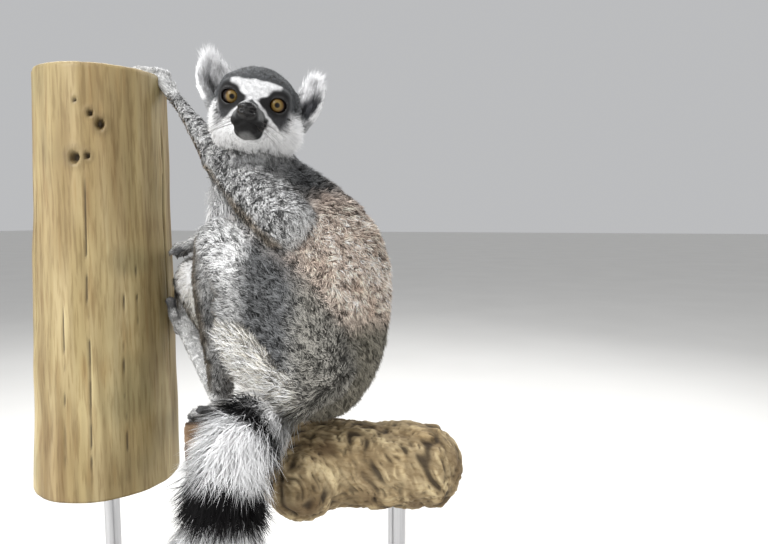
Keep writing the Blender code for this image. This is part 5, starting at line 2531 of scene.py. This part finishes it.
@dataclass
class Branch:
    """The short rough branch the lemur sits on, with its worn knob."""

    pose: Pose
    finish: bpy.types.Material
    cell: float = 0.0012

    def build(self) -> None:
        """Sculpts the branch, roughens it and colours bark and bare wood, with painted highlight on the
        raised fibres and painted shade in the fissures.
        """
        pose = self.pose
        wood = Sculpture()
        rows = []
        for x, wide in zip((-0.15, -0.1, -0.05, 0.0, 0.05, 0.085), (0.9, 0.88, 0.94, 1.0, 0.98, 0.92)):
            radius = pose.branch_radius * wide
            rows.append((*pose.at(pose.branch_middle(x)), radius, radius))
        wood.join("branch", Tube(rows, domes=(0.6, 0.35)), 0.008)
        knob = [
            (*pose.at(pose.branch_middle(-0.004)), 0.03, 0.03),
            (*(pose.at(pose.branch_middle(-0.006)) + (0, -0.022, -0.001)), 0.031, 0.031),
            (*(pose.at(pose.branch_middle(-0.008)) + (0, -0.042, -0.002)), 0.027, 0.027),
        ]
        wood.join("knob", Tube(knob, side=(1.0, 0.0, 0.0), domes=(0.5, 0.45)), 0.006)
        low, high = wood.reach(0.006)
        saw = HalfSpace(pose.at((-0.1307, 0.004, -0.088)), unit(np.array([-0.82, -0.572, 0.0])))
        wood.cut(saw, 0.002)
        points, quads = wood.block(low, high, self.cell)
        points = relax(points, quads, 3)
        normals = vertex_normals(points, quads)
        local = points - np.array(pose.pelvis)
        bark = step_up(local[:, 0] + 0.01 * mottle(points, 0.015, 81), -0.03, -0.055)
        along = points * (0.3, 1.0, 1.0)
        rough = 0.0009 * mottle(along, 0.004, 82) + 0.0014 * mottle(along, 0.011, 83)
        chips = step_up(mottle(points * (0.4, 1, 1), 0.0065, 84), 0.15, 0.5)
        knobby = 1.0 - bark
        sway = 0.004 * mottle(points, 0.012, 87)
        x, y, z = local.T
        tilted = np.stack([x + 0.5 * z, y, z - 0.5 * x], axis=1)
        hanging = (tilted + sway[:, None] * (1.0, 0.4, 0.0)) * (1.0, 1.0, 0.16)
        coarse = mottle(hanging, 0.005, 85)
        fine = mottle(hanging, 0.0018, 88)
        split = np.maximum(step_up(coarse, -0.15, -0.75), 0.7 * step_up(fine, -0.25, -0.85))
        lumps = 0.0018 * mottle(points, 0.013, 89)
        grooves = 0.0008 * coarse + 0.0005 * fine - 0.0012 * split
        height = rough - 0.0014 + bark * chips * 0.0012 + knobby * (lumps + grooves)
        made = mesh_object("branch_wood", points + normals * height[:, None], quads)
        ink = plain(tone(148, 132, 102), len(points))
        # Painted highlight: paler where the fibres stand raised.
        ink = mark(ink, tone(196, 180, 144), coarse + 0.6 * fine, 0.0, 0.9)
        ink = mark(ink, tone(104, 84, 58), mottle(points, 0.016, 86), 0.0, 0.8, 0.7)
        # Painted shade: near black in the sunk fissures of the knob.
        ink = blend(ink, tone(50, 40, 27), knobby * split * 0.9)
        dark_bark = blend(plain(tone(88, 70, 54), len(points)), tone(128, 106, 84), chips)
        ink = blend(ink, dark_bark, bark)
        paint(made, "Wood", ink)
        dress(made, self.finish, "driftwood", "perch_branch")


@dataclass
class Stand:
    """A plain base plate and two rods with small collars."""

    pose: Pose
    paint_finish: bpy.types.Material
    steel_finish: bpy.types.Material
    size: Place = (0.46, 0.34, 0.022)
    corner: float = 0.03
    edge: float = 0.003
    rod_radius: float = 0.007
    rod_sides: int = 48

    def build(self) -> None:
        """Builds the base and both rods."""
        pose = self.pose
        self.base()
        self.rod("rod_post", pose.at(pose.post_middle(pose.post_bottom)) + (0, 0, 0.004))
        self.rod("rod_branch", pose.at(pose.branch_middle(0.055)) - (0, 0, pose.branch_radius * 0.9))

    def base(self) -> None:
        """The flat plate with round corners and eased edges."""
        high, edge = self.size[2], self.edge
        ways = np.repeat([(1, 1), (-1, 1), (-1, -1), (1, -1)], 17, axis=0)
        middles = ways * (np.array(self.size[:2]) / 2 - self.corner)
        turns = np.radians([start + 90 * k / 16 for start in (0, 90, 180, 270) for k in range(17)])
        spokes = np.stack([np.cos(turns), np.sin(turns)], axis=1)
        profile = [(edge * 0.3, 0.0), (0.0, edge * 0.3)]
        for turn in np.radians(np.arange(7) * 15):
            profile.append((edge * (1 - math.cos(turn)), high - edge * (1 - math.sin(turn))))
        rings = []
        for inset, level in profile:
            flat = middles + spokes * (self.corner - inset)
            rings.append(np.column_stack([flat, np.full(len(flat), level)]))
        faces = ring_faces(len(profile), len(turns))
        made = mesh_object("base_plate", np.vstack(rings), faces)
        close_ends(made, len(profile), len(turns))
        for face in made.data.polygons:
            face.use_smooth = len(face.vertices) == 4
        dress(made, self.paint_finish, "stand_paint", "stand_base")

    def rod(self, name: str, top: Array) -> None:
        """A round rod with a small collar where it meets the base.

        Args:
            name: the rod's name.
            top: the place where it ends.
        """
        profile = [(0.0055, -0.001), (0.0055, 0.0026), (0.0048, 0.0034), (0.0008, 0.0036), (0.0, 0.0042)]
        profile = [(reach, self.size[2] + level) for reach, level in profile] + [(0.0, top[2])]
        rings = []
        for reach, level in profile:
            flat = top[:2] + circle(self.rod_sides) * (self.rod_radius + reach)
            rings.append(np.column_stack([flat, np.full(len(flat), level)]))
        made = mesh_object(name, np.vstack(rings), ring_faces(len(profile), self.rod_sides))
        dress(made, self.steel_finish, "stand_steel", f"stand_{name}")


# --- studio


@dataclass
class Studio:
    """Camera, pale floor and soft lights."""

    pose: Pose
    aim_azimuth: float = 15.264
    aim_pitch: float = 5.2
    eye: Place = (0.1606, -0.4137, 0.1153)
    lens: float = 27.05

    def build(self) -> None:
        """Builds the camera, the floor and the lights."""
        scene = bpy.context.scene
        data = bpy.data.cameras.new("studio_camera")
        data.lens, data.sensor_width, data.clip_start = self.lens, 36.0, 0.01
        camera = bpy.data.objects.new("studio_camera", data)
        scene.collection.objects.link(camera)
        turn, pitch = math.radians(self.aim_azimuth), math.radians(self.aim_pitch)
        axis = Vector(
            (-math.sin(turn) * math.cos(pitch), math.cos(turn) * math.cos(pitch), -math.sin(pitch))
        )
        place = Matrix.Translation(Vector(self.pose.at(self.eye)))
        camera.matrix_world = place @ axis.to_track_quat("-Z", "Y").to_matrix().to_4x4()
        scene.camera = camera
        self.floor()
        self.lights()

    def floor(self) -> None:
        """A wide pale floor that is not part of the model."""
        size = 30.0
        corners = np.array([(-size, -size, 0), (size, -size, 0), (size, size, 0), (-size, size, 0)])
        floor = mesh_object("studio_floor", corners - (0, 0, 0.0005), np.array([(0, 1, 2, 3)]))
        floor.data.materials.append(FloorFinish().make())

    def lights(self) -> None:
        """A big soft key, a fill, a low bounce, a rim, a sky and a pale surround."""
        for name, place, power, size in (
            ("key", (-0.5, -1.7, 2.1), 58.0, 1.2), ("fill", (2.0, -1.2, 0.9), 18.0, 1.8),
            ("bounce", (-1.7, -1.1, 0.8), 17.0, 1.2), ("rim", (0.9, 1.7, 1.9), 26.0, 1.4),
            ("sky", (-0.9, 0.9, 2.5), 44.0, 1.6),
        ):
            data = bpy.data.lights.new(name, "AREA")
            data.energy, data.size = power, size
            light = bpy.data.objects.new(name, data)
            light.location = Vector(place)
            aim = Vector(self.pose.at((0.0, 0.0, 0.05))) - Vector(place)
            light.rotation_mode = "QUATERNION"
            light.rotation_quaternion = aim.to_track_quat("-Z", "Y")
            bpy.context.scene.collection.objects.link(light)
        world = bpy.data.worlds.new("pale_studio")
        world.use_nodes = True
        back = world.node_tree.nodes["Background"]
        back.inputs["Color"].default_value = (*tone(232, 233, 235), 1.0)
        back.inputs["Strength"].default_value = 0.62
        bpy.context.scene.world = world
        bpy.context.scene.view_settings.view_transform = "Standard"


# --- the animal


@dataclass
class Lemur:
    """The whole animal: skin, eyes, claws, whiskers and coat."""

    pose: Pose
    share: float = 1.0

    def build(self) -> None:
        """Builds and dresses every piece of the animal."""
        body = Body(self.pose, CoatDepth())
        grid = SkinGrid() if self.share > 0.9 else SkinGrid(0.0026, 0.0011, 0.0012)
        markings = Markings(self.pose, Palette())
        pelt = SkinMaker(body, markings, grid).survey()
        LOG.info("skin meshed with %d faces", len(pelt.quads))
        self.skin(pelt)
        claw, eye = ClawFinish().make(), EyeFinish().make()
        for side in Side:
            Eye(body, side, eye).build()
        Claws(body, claw).build()
        Whiskers(body, claw).build()
        self.coat(Coat(body, pelt, markings))

    def skin(self, pelt: Pelt) -> None:
        """One skin that replaces all nodes of flesh.

        Args:
            pelt: the surveyed skin.
        """
        skin = mesh_object("skin", pelt.points, pelt.quads)
        paint(skin, "Coat", np.clip(pelt.colour * 0.75, 0.002, 0.9))
        weigh(skin, "bare", pelt.bare)
        nodes = ["head", "neck", "trunk", *(f"tail_{k}" for k in range(1, 6))]
        for part in ("ear", "thigh", "shank", "foot", "upper_arm", "forearm", "hand"):
            nodes += [f"{part}_left", f"{part}_right"]
        dress(skin, SkinFinish().make(), "dark_skin", *nodes)

    def coat(self, coat: Coat) -> None:
        """All pieces of the coat.

        Args:
            coat: the maker of the tufts.
        """
        fur = FurFinish().make()
        for name, slot, count, grown, side in (
            ("head", "white_fur", 65000, (Region.HEAD,), None),
            ("trunk", "grey_fur", 65000, ("trunk",), None), ("neck", "grey_fur", 16000, ("neck",), None),
            ("leg_left", "grey_fur", 52000, (Region.LEGS,), Side.LEFT),
            ("leg_right", "grey_fur", 52000, (Region.LEGS,), Side.RIGHT),
            ("arm_left", "grey_fur", 36000, (Region.ARMS,), Side.LEFT),
            ("arm_right", "grey_fur", 36000, (Region.ARMS,), Side.RIGHT),
            ("paws", "grey_fur", 36000, (Region.PAWS,), None),
            ("tail_root", "ringed_fur", 60000, (Region.TAIL,), None),
        ):
            chosen = [
                (guide.region in grown or guide.name in grown) and side in (None, guide.side)
                for guide in coat.body.guides
            ]
            tufts = int(count * self.share)
            dress(coat.grow(f"coat_{name}", np.array(chosen), tufts), fur, slot)
            LOG.info("%d tufts", tufts)


def main() -> None:
    """Builds the studio, the perch, the stand and the lemur in order."""
    logging.basicConfig(level=logging.INFO, format="%(relativeCreated)d ms %(message)s")
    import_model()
    pose = Pose()
    Studio(pose).build()
    Post(pose, WoodFinish("peeled_wood", (1.0, 1.0, 0.08), 0.52, 0.0006).make()).build()
    Branch(pose, WoodFinish("rough_wood", (0.3, 1.0, 1.0), 0.78, 0.001).make()).build()
    dark = MetalFinish("satin_paint")
    steel = MetalFinish(
        "brushed_rod", tone(168, 168, 170), tone(196, 196, 198), 1.0, 0.3, 260.0, (1, 1, 0.04), 0.0001
    )
    Stand(pose, dark.make(), steel.make()).build()
    Lemur(pose, 1.0).build()
    bpy.context.view_layer.update()


if __name__ == "__main__":
    main()
